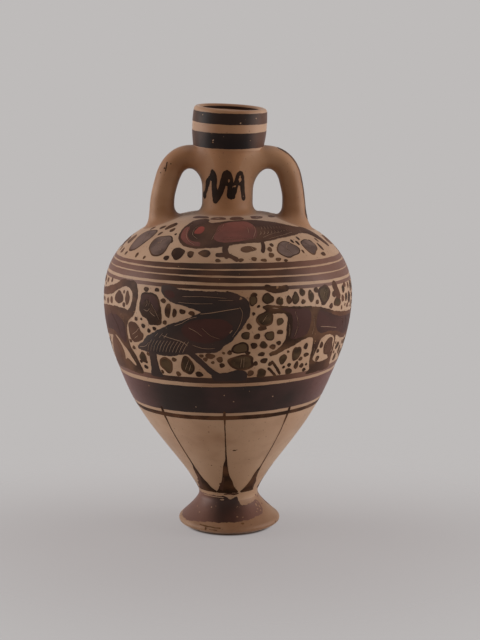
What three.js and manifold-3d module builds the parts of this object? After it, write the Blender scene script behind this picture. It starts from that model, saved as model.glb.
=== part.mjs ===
// A small two-handled oil jar of fired clay, built from the pieces the potter made:
// body, neck, mouth collar, foot, two handles, and the coils of luting clay that join them.
// Millimetres, +Z up. The origin is on the jar's axis in the plane that it rests on,
// the handles stand along X, and -Y is the front.
import * as THREE from 'three'
import { mergeVertices } from 'three/addons/utils/BufferGeometryUtils.js'
import Module from 'manifold-3d'

// Joints between the pieces
const slipGap = 0.3          // film of slip between two pieces that are not flat on each other
const cutterReach = 1        // how far a cutting shape runs past what it cuts

// Overall sizes
const overallHeight = 140
const bellyRadius = 40.5

// Heights of the pieces; the lower belly takes up what these leave of the overall height
const collarHeight = 12.9    // along the collar's own axis
const neckLength = 21.2      // from the edge of the neck's seat up to the collar
const shoulderRise = 26.2    // from the widest point of the belly up to the neck's seat
const footJointHeight = 12   // plane where the body is set on the foot

// Foot
const stemRadius = 9.6
const footRimRadius = 16.8
const footRimHeight = 2.2    // widest point of the rim above the resting plane
const footRimRound = 1.8     // how far the rim turns in to the resting face
const footRestWidth = 2.6
const footConeEdge = 3.7     // height where the cone turns over into the rim
const footHollowDepth = 2
const nubRadius = 5.6        // peg under the body, set into the foot
const nubLength = 3

// Body wall
const lowerBellyPull = 32.5  // how long the wall stays upright below the belly
const stemPull = 17
const stemLean = 23.7        // degrees from upright where the wall leaves the stem
const upperBellyPull = 16.2
const shoulderPull = 16.8
const shoulderSlope = 3.9    // degrees of fall of the shoulder away from the neck
const bodyWall = 3.6
const floorThickness = 9
const neckSeatDepth = 1.6    // step cut into the shoulder for the neck

// Neck
const neckRadius = 8.4
const neckWaistRise = 5.3    // narrowest place above the edge of the neck's seat
const boreRadius = 5.6

// Mouth collar
const mouthRadius = 8.8
const collarWallThickness = 3.2
const collarBellyHeight = 7.5
const collarFootInset = 0.7  // the collar's foot stands in from its fullest part
const collarLipInset = 1.4   // the middle of the rounded lip stands in from it
const neckTopInset = 0.6     // the neck's top stands in from the collar's foot
const lipRound = 1.2
const collarTiltX = 2.5      // degrees that the mouth leans to the front
const collarTiltY = 2.9      // degrees that the mouth leans to the right

// Handles
const handleThickness = 7.7  // seen from the front
const handleDepth = 9.4      // seen from the side
const handleReach = 21.2     // middle of the upright part from the jar's axis
const handleTopDrop = 3.3    // middle of the arch below the neck's top
const handleRootDrop = 0.6   // the root sits a little lower than the arch
const handleKneeInset = 4    // the knee stands in from the upright part
const handleKneeDrop = 2.2   // and lies below the arch
const handleKneeLead = 2.4   // length of the arch just before the knee
const handleBend = 6         // height over which the knee straightens
const handleBow = 1.1        // the upright part stands in this much above its middle
const handleSplay = 0.3      // and out this much at its foot

// Luting clay
const lutingEdge = 0.5       // thickness left at the feathered end of a coil
const upperLutingSpread = {
  along: 5.2,                // wider than the handle, up and down the neck
  across: 1.9,               // and round the neck
  length: 7,
  buried: 3.3,               // start of the coil inside the neck's top radius
}
const lowerLutingSpread = {
  along: 2.6,
  across: 2.4,
  rise: 4,                   // top of the coil above the shoulder under the handle's middle
  buried: 1.6,               // start of the coil below the shoulder at its outer edge
}
const neckLutingSpread = 3
const neckLutingHeight = 3.2
const footLutingDepth = 0.7  // depth of the step round the stem that the ring fills
const footLutingHeight = 2.4

// Fineness of the curved faces
const turns = 48
const wallSteps = 12
const innerWallSteps = 7
const handleSides = 20
const handleSteps = 16
const roundSteps = 4

const wasm = await Module()
wasm.setup()

// A closed geometry as a solid that can be joined and cut
function toSolid(geometry, matrix) {
  const bare = geometry.clone()
  bare.deleteAttribute('normal')
  bare.deleteAttribute('uv')
  if (matrix) bare.applyMatrix4(matrix)
  const merged = mergeVertices(bare, 1e-4)
  const corners = Array.from(merged.index.array)
  const kept = []
  for (let i = 0; i < corners.length; i += 3) {
    const [a, b, c] = corners.slice(i, i + 3)
    if (a !== b && b !== c && c !== a) kept.push(a, b, c)
  }
  const vertProperties = new Float32Array(merged.attributes.position.array)
  const triVerts = new Uint32Array(kept)
  return new wasm.Manifold(new wasm.Mesh({ numProp: 3, vertProperties, triVerts }))
}

// The largest connected piece of a solid, as a geometry
function toGeometry(solid) {
  const pieces = solid.decompose()
  pieces.sort((a, b) => b.volume() - a.volume())
  const mesh = pieces[0].getMesh()
  const geometry = new THREE.BufferGeometry()
  const positions = new Float32Array(mesh.vertProperties)
  geometry.setAttribute('position', new THREE.BufferAttribute(positions, 3))
  geometry.setIndex(new THREE.BufferAttribute(new Uint32Array(mesh.triVerts), 1))
  geometry.computeVertexNormals()
  return geometry
}

const at = (r, z) => new THREE.Vector2(r, z)
const radians = THREE.MathUtils.degToRad

// Revolves an outline of (radius, height) points about the Z axis
function revolve(outline, sides = turns) {
  return new THREE.LatheGeometry(outline, sides).rotateX(Math.PI / 2)
}

// Points along a cubic curve between two (radius, height) points
function bend(from, pullFrom, pullTo, to, steps) {
  return new THREE.CubicBezierCurve(from, pullFrom, pullTo, to).getPoints(steps)
}

// Points along a quarter ellipse about (r, z), from one angle to another in degrees
function arc(r, z, halfWidth, halfHeight, fromAngle, toAngle, steps = roundSteps) {
  const curve = new THREE.EllipseCurve(
    r, z, halfWidth, halfHeight, radians(fromAngle), radians(toAngle), toAngle < fromAngle)
  return curve.getPoints(steps)
}

// An outline moved outwards by a distance, square to its own direction
function grow(outline, distance) {
  return outline.map((point, i) => {
    const before = outline[Math.max(i - 1, 0)]
    const after = outline[Math.min(i + 1, outline.length - 1)]
    const along = after.clone().sub(before).normalize()
    return at(point.x + along.y * distance, point.y - along.x * distance)
  })
}

// Radii of the mouth, from the inside out, and of what carries it
const collarBellyRadius = mouthRadius + collarWallThickness
const collarFootRadius = collarBellyRadius - collarFootInset
const collarLipRadius = collarBellyRadius - collarLipInset
const neckTopRadius = collarFootRadius - neckTopInset

// The collar leans a little, so the far side of its lip stands above its middle
const collarTilt = new THREE.Euler(radians(collarTiltX), radians(collarTiltY), 0)
const lipRise = collarLipRadius * Math.sin(radians(Math.hypot(collarTiltX, collarTiltY)))

// Heights above the resting plane, from the mouth down
const neckTopHeight = overallHeight - lipRise - collarHeight
const shoulderTopHeight = neckTopHeight - neckLength
const bellyHeight = shoulderTopHeight - shoulderRise

// The outside of the body, from the stem up to the edge of the neck's seat
const neckSeatRadius = neckRadius + slipGap
const footLutingRadius = stemRadius - footLutingDepth
const belly = at(bellyRadius, bellyHeight)
function lowerWall(steps) {
  const stem = at(stemRadius, footJointHeight)
  const lean = radians(stemLean)
  const fromStem = at(stem.x + stemPull * Math.sin(lean), stem.y + stemPull * Math.cos(lean))
  const toBelly = at(belly.x, belly.y - lowerBellyPull)
  return bend(stem, fromStem, toBelly, belly, steps)
}
function upperWall(steps) {
  const top = at(neckSeatRadius, shoulderTopHeight)
  const slope = radians(shoulderSlope)
  const fromBelly = at(belly.x, belly.y + upperBellyPull)
  const toTop = at(top.x + shoulderPull * Math.cos(slope), top.y - shoulderPull * Math.sin(slope))
  return bend(belly, fromBelly, toTop, top, steps)
}
const wallOutline = (steps) => [...lowerWall(steps), ...upperWall(steps).slice(1)]
const outerWall = wallOutline(wallSteps)

// Height of the shoulder's surface at a radius
const shoulderCurve = upperWall(wallSteps * 4)
function shoulderAt(radius) {
  const below = shoulderCurve.findIndex((p) => p.x < radius)
  const inner = shoulderCurve[below]
  const outer = shoulderCurve[below - 1]
  return inner.y + (outer.y - inner.y) * (radius - inner.x) / (outer.x - inner.x)
}

// Body: a shell with a peg below, a solid floor in the stem and a stepped opening above
function makeBody() {
  const cavityFloor = footJointHeight + floorThickness
  const seatHeight = shoulderTopHeight - neckSeatDepth
  const inner = grow(wallOutline(innerWallSteps), -bodyWall)
    .filter((p) => p.y > cavityFloor + 1 && p.y < seatHeight - bodyWall * 0.6)
    .reverse()
  const stemIn = outerWall.filter((p) => p.y > footJointHeight + footLutingHeight)
  return [
    at(0, footJointHeight - nubLength),
    at(nubRadius, footJointHeight - nubLength),
    at(nubRadius, footJointHeight),
    at(footLutingRadius, footJointHeight),
    at(footLutingRadius, footJointHeight + footLutingHeight),
    ...stemIn,
    at(neckSeatRadius, seatHeight),
    at(boreRadius, seatHeight),
    at(boreRadius, inner[0].y),
    ...inner,
    at(0, cavityFloor),
  ]
}

// The outside of the neck, from its seat to its top, narrowest at the waist
function neckWall() {
  const waist = at(neckRadius, shoulderTopHeight + neckWaistRise)
  const top = at(neckTopRadius, neckTopHeight + cutterReach)
  const rise = (top.y - waist.y) / 2
  return [
    at(neckRadius, shoulderTopHeight - neckSeatDepth),
    ...bend(
      waist, at(waist.x, waist.y + rise), at(top.x - neckTopInset, top.y - rise / 2), top, roundSteps * 2),
  ]
}
function makeNeck() {
  const wall = neckWall()
  const outline = [
    ...wall,
    at(boreRadius, neckTopHeight + cutterReach),
    at(boreRadius, shoulderTopHeight - neckSeatDepth),
    wall[0].clone(),
  ]
  const collarSide = new THREE.BoxGeometry(bellyRadius, bellyRadius, bellyRadius)
    .translate(0, 0, bellyRadius / 2 - slipGap)
  return toSolid(revolve(outline)).subtract(toSolid(collarSide, collarPlace))
}

// The collar is drawn about its own axis and then placed
const collarPlace = new THREE.Matrix4()
  .makeRotationFromEuler(collarTilt)
  .setPosition(0, 0, neckTopHeight)

function collarWall(growth) {
  const middle = at(collarBellyRadius, collarBellyHeight)
  const foot = at(collarFootRadius, 0)
  const crown = at(collarLipRadius + lipRound, collarHeight - lipRound)
  const footPull = at(foot.x + 0.5, middle.y * 0.4)
  const crownPull = at(crown.x + 0.1, crown.y - 1.5)
  const wall = [
    ...bend(foot, footPull, at(middle.x, middle.y * 0.7), middle, roundSteps),
    ...bend(middle, at(middle.x, middle.y * 1.2), crownPull, crown, roundSteps).slice(1),
  ]
  return growth ? grow(wall, growth) : wall
}
function makeCollar() {
  const lip = arc(collarLipRadius, collarHeight - lipRound, lipRound, lipRound, 0, 180, roundSteps * 2)
  const throat = at(boreRadius, 0)
  const funnelTop = at(mouthRadius, collarHeight - lipRound * 2)
  const upright = at(mouthRadius, collarHeight * 0.45)
  const narrowing = at(boreRadius + 1.2, collarHeight * 0.3)
  const funnel = bend(funnelTop, upright, narrowing, throat, roundSteps + 2)
  return [...collarWall(0), ...lip.slice(1), ...funnel, collarWall(0)[0].clone()]
}
function collarEnvelope() {
  const wall = collarWall(slipGap)
  const low = -slipGap
  return [at(0, low), at(wall[0].x, low), ...wall, at(0, collarHeight)]
}

// Foot: a flaring cone on a rounded rim, hollowed a little below, with a socket for the peg
function makeFoot() {
  const seat = footJointHeight
  const restRadius = footRimRadius - footRimRound
  const socket = nubRadius + slipGap
  const cone = bend(
    at(stemRadius, seat), at(stemRadius + 0.1, seat - 1.6),
    at(footRimRadius - 2.4, footConeEdge + 2.2), at(footRimRadius - 0.3, footConeEdge), roundSteps)
  const rim = arc(restRadius, footRimHeight, footRimRound, footRimHeight, 0, -90, roundSteps)
  const hollow = arc(0, 0, restRadius - footRestWidth, footHollowDepth, 0, 90, roundSteps)
  return [
    at(0, seat - nubLength - slipGap),
    at(socket, seat - nubLength - slipGap),
    at(socket, seat),
    ...cone,
    ...rim,
    ...hollow,
  ].reverse()
}

// A ring of luting clay that fills the step cut round the stem
function makeFootLuting() {
  const low = footJointHeight + slipGap
  const high = footJointHeight + footLutingHeight - slipGap
  const outside = outerWall.filter((p) => p.y > low + slipGap && p.y < high - slipGap)
  const along = (z) => outerWall.reduce((best, p, i) => {
    const next = outerWall[i + 1]
    const spans = next && p.y <= z && next.y >= z
    return spans ? p.x + (next.x - p.x) * (z - p.y) / (next.y - p.y) : best
  }, stemRadius)
  const inside = footLutingRadius + slipGap
  return [
    at(inside, low),
    at(along(low), low),
    ...outside,
    at(along(high), high),
    at(inside, high),
    at(inside, low),
  ]
}

// A ring of luting clay in the corner between the neck and the shoulder
function makeNeckLuting() {
  const inside = neckRadius + slipGap
  const low = shoulderTopHeight - neckLutingSpread * 0.5
  const high = shoulderTopHeight + slipGap + neckLutingHeight
  const outside = arc(
    inside + neckLutingSpread, high, neckLutingSpread - lutingEdge, neckLutingHeight, 270, 180, roundSteps)
  const ring = [
    at(inside, low),
    at(inside + neckLutingSpread, low),
    ...outside,
    at(inside, high),
    at(inside, low),
  ]
  return toSolid(revolve(ring)).subtract(bodyEnvelope)
}

// A handle's middle line in the XZ plane, for the side given by the sign of x
const handleTopHeight = neckTopHeight - handleTopDrop
const handleFootHeight = shoulderAt(handleReach + handleThickness / 2) - handleThickness / 2
function handleLine(side) {
  const kneeX = handleReach - handleKneeInset
  const kneeHeight = handleTopHeight - handleKneeDrop
  const middle = (kneeHeight + handleFootHeight) / 2
  const points = [
    [boreRadius, handleTopHeight - handleRootDrop],
    [(boreRadius + kneeX) / 2, handleTopHeight],
    [kneeX - handleKneeLead, handleTopHeight - handleRootDrop],
    [kneeX, kneeHeight],
    [handleReach - handleBow, middle + handleBend],
    [handleReach, middle],
    [handleReach + handleSplay, handleFootHeight],
  ]
  return new THREE.CatmullRomCurve3(points.map(([x, z]) => new THREE.Vector3(side * x, 0, z)))
}

// A handle as an oval section swept along its middle line
function handleSweep(side, growth) {
  const oval = new THREE.Shape()
  const halfIn = handleThickness / 2 + growth
  const halfAcross = handleDepth / 2 + growth
  oval.absellipse(0, 0, halfAcross, halfIn, 0, Math.PI * 2)
  const swept = new THREE.ExtrudeGeometry(oval, {
    steps: handleSteps,
    curveSegments: handleSides / 2,
    bevelEnabled: false,
    extrudePath: handleLine(side),
  })
  return toSolid(swept)
}

// A trumpet of clay, drawn along +Z and wide at its foot, that wraps the end of a handle
function trumpet({ along, across, length }) {
  const halfIn = handleThickness / 2
  const halfAcross = handleDepth / 2
  const flare = arc(halfIn + along, length, along - lutingEdge, length, 270, 180, roundSteps + 1)
  const outline = [at(0, 0), ...flare, at(0, length)]
  const shape = revolve(outline, handleSides)
  const place = shape.attributes.position
  for (let i = 0; i < place.count; i += 1) {
    const height = place.getZ(i)
    const reach = Math.hypot(place.getX(i), place.getY(i))
    const spread = height <= 0 ? 1 : Math.max(reach - halfIn, 0) / along
    const squeeze = (halfAcross + spread * across) / (halfIn + spread * along)
    place.setY(i, place.getY(i) * squeeze)
  }
  return shape
}

function makeUpperLuting(side) {
  const root = neckTopRadius - upperLutingSpread.buried
  const place = new THREE.Matrix4()
    .makeRotationY(side * Math.PI / 2)
    .setPosition(side * root, 0, handleTopHeight)
  return toSolid(trumpet(upperLutingSpread), place)
    .subtract(handleSweep(side, slipGap))
    .subtract(neckEnvelope)
    .subtract(collarCutter)
}

function makeLowerLuting(side) {
  const { along, across, rise, buried } = lowerLutingSpread
  const low = shoulderAt(handleReach + handleThickness / 2 + along) - buried
  const length = shoulderAt(handleReach) + rise - low
  const place = new THREE.Matrix4().setPosition(side * handleReach, 0, low)
  return toSolid(trumpet({ along, across, length }), place)
    .subtract(handleSweep(side, slipGap))
    .subtract(bodyEnvelope)
}

function makeHandle(side) {
  return handleSweep(side, 0)
    .subtract(neckEnvelope)
    .subtract(bodyEnvelope)
    .subtract(collarCutter)
}

// Filled shapes of the neck, body and collar, a film of slip larger than the pieces
const neckGrown = grow(neckWall(), slipGap)
const neckEnvelope = toSolid(revolve([
  at(0, neckGrown[0].y), ...neckGrown, at(0, neckGrown[neckGrown.length - 1].y),
]))
const bodyGrown = grow(outerWall, slipGap)
const bodyEnvelope = toSolid(revolve([
  at(0, bodyGrown[0].y), ...bodyGrown, at(0, bodyGrown[bodyGrown.length - 1].y),
]))
const collarCutter = toSolid(revolve(collarEnvelope()), collarPlace)

// Finishes: pale clay, and clay under brown-black slip
const clay = { color: '#b98a5e', roughness: 0.72, metalness: 0 }
const luting = { color: '#b08057', roughness: 0.78, metalness: 0 }
const painted = { color: '#3a2822', roughness: 0.45, metalness: 0 }

const jar = new THREE.Group()
function addPiece(name, geometry, finish) {
  const mesh = new THREE.Mesh(geometry, new THREE.MeshStandardMaterial(finish))
  mesh.name = name
  jar.add(mesh)
  return mesh
}

addPiece('foot', revolve(makeFoot()), painted)
addPiece('body', revolve(makeBody()), clay)
addPiece('foot_luting', revolve(makeFootLuting()), luting)
addPiece('neck', toGeometry(makeNeck()), clay)
addPiece('neck_luting', toGeometry(makeNeckLuting()), luting)

const collar = addPiece('mouth_collar', revolve(makeCollar()), painted)
collar.rotation.copy(collarTilt)
collar.position.set(0, 0, neckTopHeight)

for (const [name, side] of [['left', -1], ['right', 1]]) {
  addPiece(`${name}_handle`, toGeometry(makeHandle(side)), clay)
  addPiece(`${name}_handle_upper_luting`, toGeometry(makeUpperLuting(side)), luting)
  addPiece(`${name}_handle_lower_luting`, toGeometry(makeLowerLuting(side)), luting)
}

export default jar
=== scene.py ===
# %% [markdown]
# # A small two-handled oil jar
# The real jar is fired clay, painted with dark slip before the firing and scratched with a point.
# A potter threw the body, the neck, the mouth and the foot, pulled two handles, and joined all of
# them with soft clay. Each of those is a separate piece here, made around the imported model, which
# gives the sizes. The paint is made as thin skins of slip, because slip has an edge that shows.

# %% Load the fixed frame
import math
import bpy
import numpy as np
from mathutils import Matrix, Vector
from mathutils.geometry import delaunay_2d_cdt


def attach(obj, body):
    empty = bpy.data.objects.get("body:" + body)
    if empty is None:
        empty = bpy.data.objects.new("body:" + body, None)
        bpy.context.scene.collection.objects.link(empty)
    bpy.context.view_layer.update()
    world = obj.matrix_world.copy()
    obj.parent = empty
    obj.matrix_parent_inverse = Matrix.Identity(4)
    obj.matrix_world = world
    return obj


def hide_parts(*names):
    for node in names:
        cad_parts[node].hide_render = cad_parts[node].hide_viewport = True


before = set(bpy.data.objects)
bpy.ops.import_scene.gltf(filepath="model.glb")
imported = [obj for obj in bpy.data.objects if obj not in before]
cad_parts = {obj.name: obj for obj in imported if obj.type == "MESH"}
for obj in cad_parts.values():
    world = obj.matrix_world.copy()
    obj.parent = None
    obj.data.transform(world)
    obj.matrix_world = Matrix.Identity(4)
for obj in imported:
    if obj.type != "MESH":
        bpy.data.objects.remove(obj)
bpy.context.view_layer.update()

# %% [markdown]
# ## The jar's outline
# A thrown jar is a solid of revolution, so one outline of radius and height describes each part.
# Two smooth curves that meet upright at the belly give the body. All sizes are millimetres, and
# one factor turns them into metres at the end.

# %% Sizes and the body's outline
FOOT_JOINT = 12.0
STEM = 9.6
BELLY = 40.5
BELLY_HEIGHT = 78.99
SHOULDER_TOP = 105.19
OPENING = 8.7
NECK_SEAT = 103.6
NECK_RADIUS = 8.2
NECK_TOP = 126.39
BORE = 5.6


def bow(a, b, c, d, steps):
    """A smooth curve from a to d that leaves towards b and arrives from c."""
    t = np.linspace(0, 1, steps + 1)[:, None]
    a, b, c, d = (np.array(p, float) for p in (a, b, c, d))
    return (1 - t) ** 3 * a + 3 * (1 - t) ** 2 * t * b + 3 * (1 - t) * t * t * c + t ** 3 * d


lower_wall = bow((STEM, FOOT_JOINT), (16.43, 27.57), (BELLY, 46.49), (BELLY, BELLY_HEIGHT), 400)
upper_wall = bow((BELLY, BELLY_HEIGHT), (BELLY, 95.19), (25.46, 104.05), (OPENING, SHOULDER_TOP),
                 400)
wall = np.vstack([lower_wall, upper_wall[1:]])
# at these heights the potter's wall is fuller (or, below zero, leaner) than the smooth curve
full_heights = [12, 19, 24, 29, 36, 40, 44, 48,
                52, 56, 60, 66, 72, 76, 82, 90]
full_amounts = [0, 0.06, 0.22, 0.36, 0.45, 0.36, 0.26, 0.02,
                -0.22, -0.26, -0.14, 0, 0.1, 0.16, 0, 0]
wall[:, 0] += np.interp(wall[:, 1], full_heights, full_amounts)
print("body outline:", len(wall), "points, widest", wall[:, 0].max(), "mm")


# %% Look up the outline
HANDLE_REACH = 21.2


def wall_radius(z):
    return np.interp(z, wall[:, 1], wall[:, 0])


def shoulder_height(r):
    return np.interp(r, upper_wall[::-1, 0], upper_wall[::-1, 1])


neck_outline = np.vstack([
    [(NECK_RADIUS, 100.0)],
    bow((NECK_RADIUS, 110.49), (NECK_RADIUS, 118.9), (10.1, 123.2), (10.7, 127.39), 80)])
foot_outline = np.vstack([
    bow((STEM, 12.2), (9.1, 10.0), (13.2, 6.1), (15.8, 3.9), 40),
    bow((15.8, 3.9), (16.4, 3.4), (16.95, 3.0), (16.9, 2.3), 10)[1:],
    bow((16.9, 2.3), (16.85, 1.7), (16.3, 1.25), (15.0, 1.1), 12)[1:]])


def neck_radius(z):
    return np.interp(z, neck_outline[:, 1], neck_outline[:, 0])


def foot_radius(z):
    return np.interp(z, foot_outline[::-1, 1], foot_outline[::-1, 0])


print("shoulder at the handles:", round(float(shoulder_height(HANDLE_REACH)), 2), "mm up")

# %% [markdown]
# ## The potter's hand
# No thrown jar is true. This one leans a little in the foot and the neck, and its wall is a few
# hundredths out of round. One smooth shift of space does this to every piece alike, so that pieces
# which touch still touch.

# %% A small lean and wobble for every point
lean_heights = [0, 5, 12, 24, 45, 57, 66, 80, 92, 104, 115, 126, 140]
lean_shifts = [0.5, 0.5, 0.22, 0.06, -0.2, -0.17, 0, 0.2, 0.12, -0.08, 0.12, 0.3, 0.45]
fine_heights = np.arange(-10, 160, 0.5)
rough_lean = np.interp(fine_heights, lean_heights, lean_shifts)
SMOOTHED = 21
weights = np.hanning(SMOOTHED) / np.hanning(SMOOTHED).sum()
fine_lean = np.convolve(np.pad(rough_lean, SMOOTHED // 2, mode="edge"), weights, mode="valid")
FULLY_UNEVEN_AT = 25


def settle(points):
    """The points shifted as the finished jar leans and bulges; the wobble fades to the axis."""
    out = np.array(points, float)
    x, y, z = out.T.copy()
    turn = np.arctan2(x, -y)
    bulge = (0.06 * np.cos(2 * turn + 0.6 + z * 0.015) + 0.04 * np.cos(3 * turn - z * 0.05)
             + 0.03 * np.sin(z * 0.21 + turn)) * np.clip(np.hypot(x, y) / FULLY_UNEVEN_AT, 0, 1)
    out[:, 0] += np.interp(z, fine_heights, fine_lean) + bulge * np.sin(turn)
    out[:, 1] -= bulge * np.cos(turn)
    return out


print("lean at the mouth:", np.round(settle([(0, 0, 138)])[0], 3))


# %% [markdown]
# ## Turning a mesh into a piece of the jar
# Every piece is made in the same way: points in millimetres, faces, a material, and the body that
# it rides on. An edge stays sharp where its two faces meet at more than a given angle.

# %% Make a piece from points and faces
MM = 0.001


def make_piece(name, points, faces, material, nodes=(), sharp=35, normals=None):
    mesh = bpy.data.meshes.new(name)
    mesh.from_pydata((np.asarray(points) * MM).tolist(), [], faces)
    mesh.validate()
    mesh.materials.append(material)
    mesh.polygons.foreach_set("use_smooth", [True] * len(mesh.polygons))
    if normals is None:
        mesh.set_sharp_from_angle(angle=math.radians(sharp))
    else:
        mesh.normals_split_custom_set_from_vertices(normals.tolist())
    piece = bpy.data.objects.new(name, mesh)
    bpy.context.scene.collection.objects.link(piece)
    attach(piece, "root")
    if nodes:
        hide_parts(*nodes)
    print(name + ":", len(faces), "faces")


# %% Turn an outline on the wheel
def spin(outline, columns=256):
    """Points and faces of an outline turned about Z; an outline off the axis closes on itself."""
    outline = np.asarray(outline, float)
    turn = np.arange(columns) * 2 * math.pi / columns
    points, rings = [], []
    for r, z in outline:
        start = len(points)
        if r < 1e-6:
            points.append((0, 0, z))
            rings.append([start] * columns)
        else:
            points += [(r * math.sin(a), -r * math.cos(a), z) for a in turn]
            rings.append(list(range(start, start + columns)))
    pairs = list(zip(rings[:-1], rings[1:]))
    if outline[0, 0] > 1e-6:
        pairs.append((rings[-1], rings[0]))
    faces = []
    for low, high in pairs:
        for i in range(columns):
            j = (i + 1) % columns
            corners = []
            for v in (low[i], low[j], high[j], high[i]):
                if v not in corners:
                    corners.append(v)
            if len(corners) > 2:
                faces.append(corners)
    return np.array(points), faces


def length_along(points):
    """How far along a line each of its points lies."""
    steps = np.linalg.norm(np.diff(points, axis=0), axis=1)
    return np.concatenate([[0], np.cumsum(steps)])


def even(outline, step):
    """The outline again with points about a step apart, with its ends kept."""
    run = length_along(outline)
    at = np.linspace(0, run[-1], max(2, int(run[-1] / step) + 1))
    return np.column_stack([np.interp(at, run, outline[:, 0]), np.interp(at, run, outline[:, 1])])


def thrown(name, outline, material, columns=256):
    """A piece made on the wheel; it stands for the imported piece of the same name."""
    points, faces = spin(outline, columns)
    make_piece(name, settle(points), faces, material, [name])


# %% [markdown]
# ## Effects that several finishes share
# Fired clay shows grain, faint rings from the wheel, cloudy changes of tone from the kiln, and
# small flecks. Each effect is a node group, built once, so that the clay and the slip can use it
# with their own numbers. The groups read the object's own coordinates, so nothing slides.

# %% Build a node group
def new_group(name, inputs, outputs):
    group = bpy.data.node_groups.new(name, "ShaderNodeTree")
    for label, value in inputs.items():
        socket = group.interface.new_socket(name=label, in_out="INPUT",
                                            socket_type="NodeSocketFloat")
        socket.default_value = value
    for label in outputs:
        group.interface.new_socket(name=label, in_out="OUTPUT", socket_type="NodeSocketFloat")
    return group, group.nodes.new("NodeGroupInput"), group.nodes.new("NodeGroupOutput")


def math_node(tree, kind, first, second=None, clamp=False):
    node = tree.nodes.new("ShaderNodeMath")
    node.operation = kind
    node.use_clamp = clamp
    for socket, value in zip(node.inputs, (first, second)):
        if isinstance(value, (int, float)):
            socket.default_value = value
        elif value is not None:
            tree.links.new(value, socket)
    return node.outputs[0]


def times(tree, value, share):
    return math_node(tree, "MULTIPLY", value, share)


def plus(tree, first, second):
    return math_node(tree, "ADD", first, second)


def noise(tree, scale, detail=4.0, rough=0.55, stretch=(1, 1, 1), shift=0.0):
    """Noise in the object's own space; scale is spots to the metre."""
    place = tree.nodes.new("ShaderNodeTexCoord")
    move = tree.nodes.new("ShaderNodeMapping")
    move.inputs["Scale"].default_value = stretch
    move.inputs["Location"].default_value = (shift, shift * 0.7, shift * 1.3)
    cloud = tree.nodes.new("ShaderNodeTexNoise")
    tree.links.new(place.outputs["Object"], move.inputs["Vector"])
    tree.links.new(move.outputs[0], cloud.inputs["Vector"])
    if isinstance(scale, (int, float)):
        cloud.inputs["Scale"].default_value = scale
    else:
        tree.links.new(scale, cloud.inputs["Scale"])
    cloud.inputs["Detail"].default_value = detail
    cloud.inputs["Roughness"].default_value = rough
    return cloud.outputs["Fac"]


def ramp(tree, value, low, high):
    """0 below low, 1 above high, smooth between."""
    node = tree.nodes.new("ShaderNodeMapRange")
    node.interpolation_type = "SMOOTHSTEP"
    tree.links.new(value, node.inputs["Value"])
    for label, number in (("From Min", low), ("From Max", high)):
        if isinstance(number, (int, float)):
            node.inputs[label].default_value = number
        else:
            tree.links.new(number, node.inputs[label])
    return node.outputs["Result"]


# %% Grain and wheel rings
grain_group, g_in, g_out = new_group(
    "Clay grain", {"Grain": 1.0, "Rings": 1.0}, ["Tone", "Height"])
fine = noise(grain_group, 2600, detail=5, rough=0.6)
coarse = noise(grain_group, 700, rough=0.6, shift=3.1)
rings = noise(grain_group, 60, detail=3, rough=0.5, stretch=(0.6, 0.6, 14), shift=1.7)
tone = plus(grain_group, times(grain_group, fine, 0.4), times(grain_group, coarse, 0.6))
grain_group.links.new(tone, g_out.inputs["Tone"])
height = plus(grain_group, times(grain_group, tone, g_in.outputs["Grain"]),
              times(grain_group, rings, g_in.outputs["Rings"]))
grain_group.links.new(height, g_out.inputs["Height"])
print("group:", grain_group.name)

# %% Cloudy changes of tone
cloud_group, c_in, c_out = new_group(
    "Kiln clouds", {"Size": 40.0, "Low": 0.4, "High": 0.62}, ["Mask"])
cloud_noise = noise(cloud_group, c_in.outputs["Size"], detail=3, rough=0.5, stretch=(1, 1, 1.6))
cloud_group.links.new(ramp(cloud_group, cloud_noise, c_in.outputs["Low"], c_in.outputs["High"]),
                      c_out.inputs["Mask"])
print("group:", cloud_group.name)

# %% Painted sheen: colours turn paler or redder towards the jar's sides, left and right
PATCHES = 0.008
# painted sheen: a mask that grows with distance from the middle plane, along X
side_sheen_group, k_in, k_out = new_group("Painted sheen on the sides", {"From": 0.018, "To": 0.036}, ["Mask"])
place = side_sheen_group.nodes.new("ShaderNodeTexCoord")
split = side_sheen_group.nodes.new("ShaderNodeSeparateXYZ")
side_sheen_group.links.new(place.outputs["Object"], split.inputs[0])
across = math_node(side_sheen_group, "ABSOLUTE", split.outputs["X"])
patches = noise(side_sheen_group, 60, detail=3, rough=0.5, shift=2.3)
patches = math_node(side_sheen_group, "SUBTRACT", times(side_sheen_group, patches, PATCHES), PATCHES / 2)
across = plus(side_sheen_group, across, patches)
side_sheen_group.links.new(ramp(side_sheen_group, across, k_in.outputs["From"], k_in.outputs["To"]),
                      k_out.inputs["Mask"])
print("group:", side_sheen_group.name)

# %% Flecks, where a little of the surface is missing or stained
FLECK_EDGE = 0.025
fleck_group, f_in, f_out = new_group("Flecks", {"Size": 900.0, "Start": 0.66}, ["Mask"])
fleck_noise = noise(fleck_group, f_in.outputs["Size"], detail=3, shift=5.3)
fleck_end = plus(fleck_group, f_in.outputs["Start"], FLECK_EDGE)
fleck_group.links.new(ramp(fleck_group, fleck_noise, f_in.outputs["Start"], fleck_end),
                      f_out.inputs["Mask"])
print("group:", fleck_group.name)


# %% [markdown]
# ## The finishes
# Corinthian clay fires to a pale buff with a warm blush. The slip is the same clay refined and
# fired dark: nearly black where it is thick, brown where it is thin, with a soft sheen from
# rubbing. A purple-red was laid over the dark in places, and it is duller.

# %% Put a group or a colour mix into a material
def linear(red, green, blue):
    """A colour as seen on a screen, 0 to 255, in the numbers that a shader wants."""
    return tuple(((c / 255 + 0.055) / 1.055) ** 2.4 for c in (red, green, blue)) + (1.0,)


def use_group(tree, group, **values):
    node = tree.nodes.new("ShaderNodeGroup")
    node.node_tree = group
    for label, value in values.items():
        node.inputs[label].default_value = value
    return node.outputs


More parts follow.
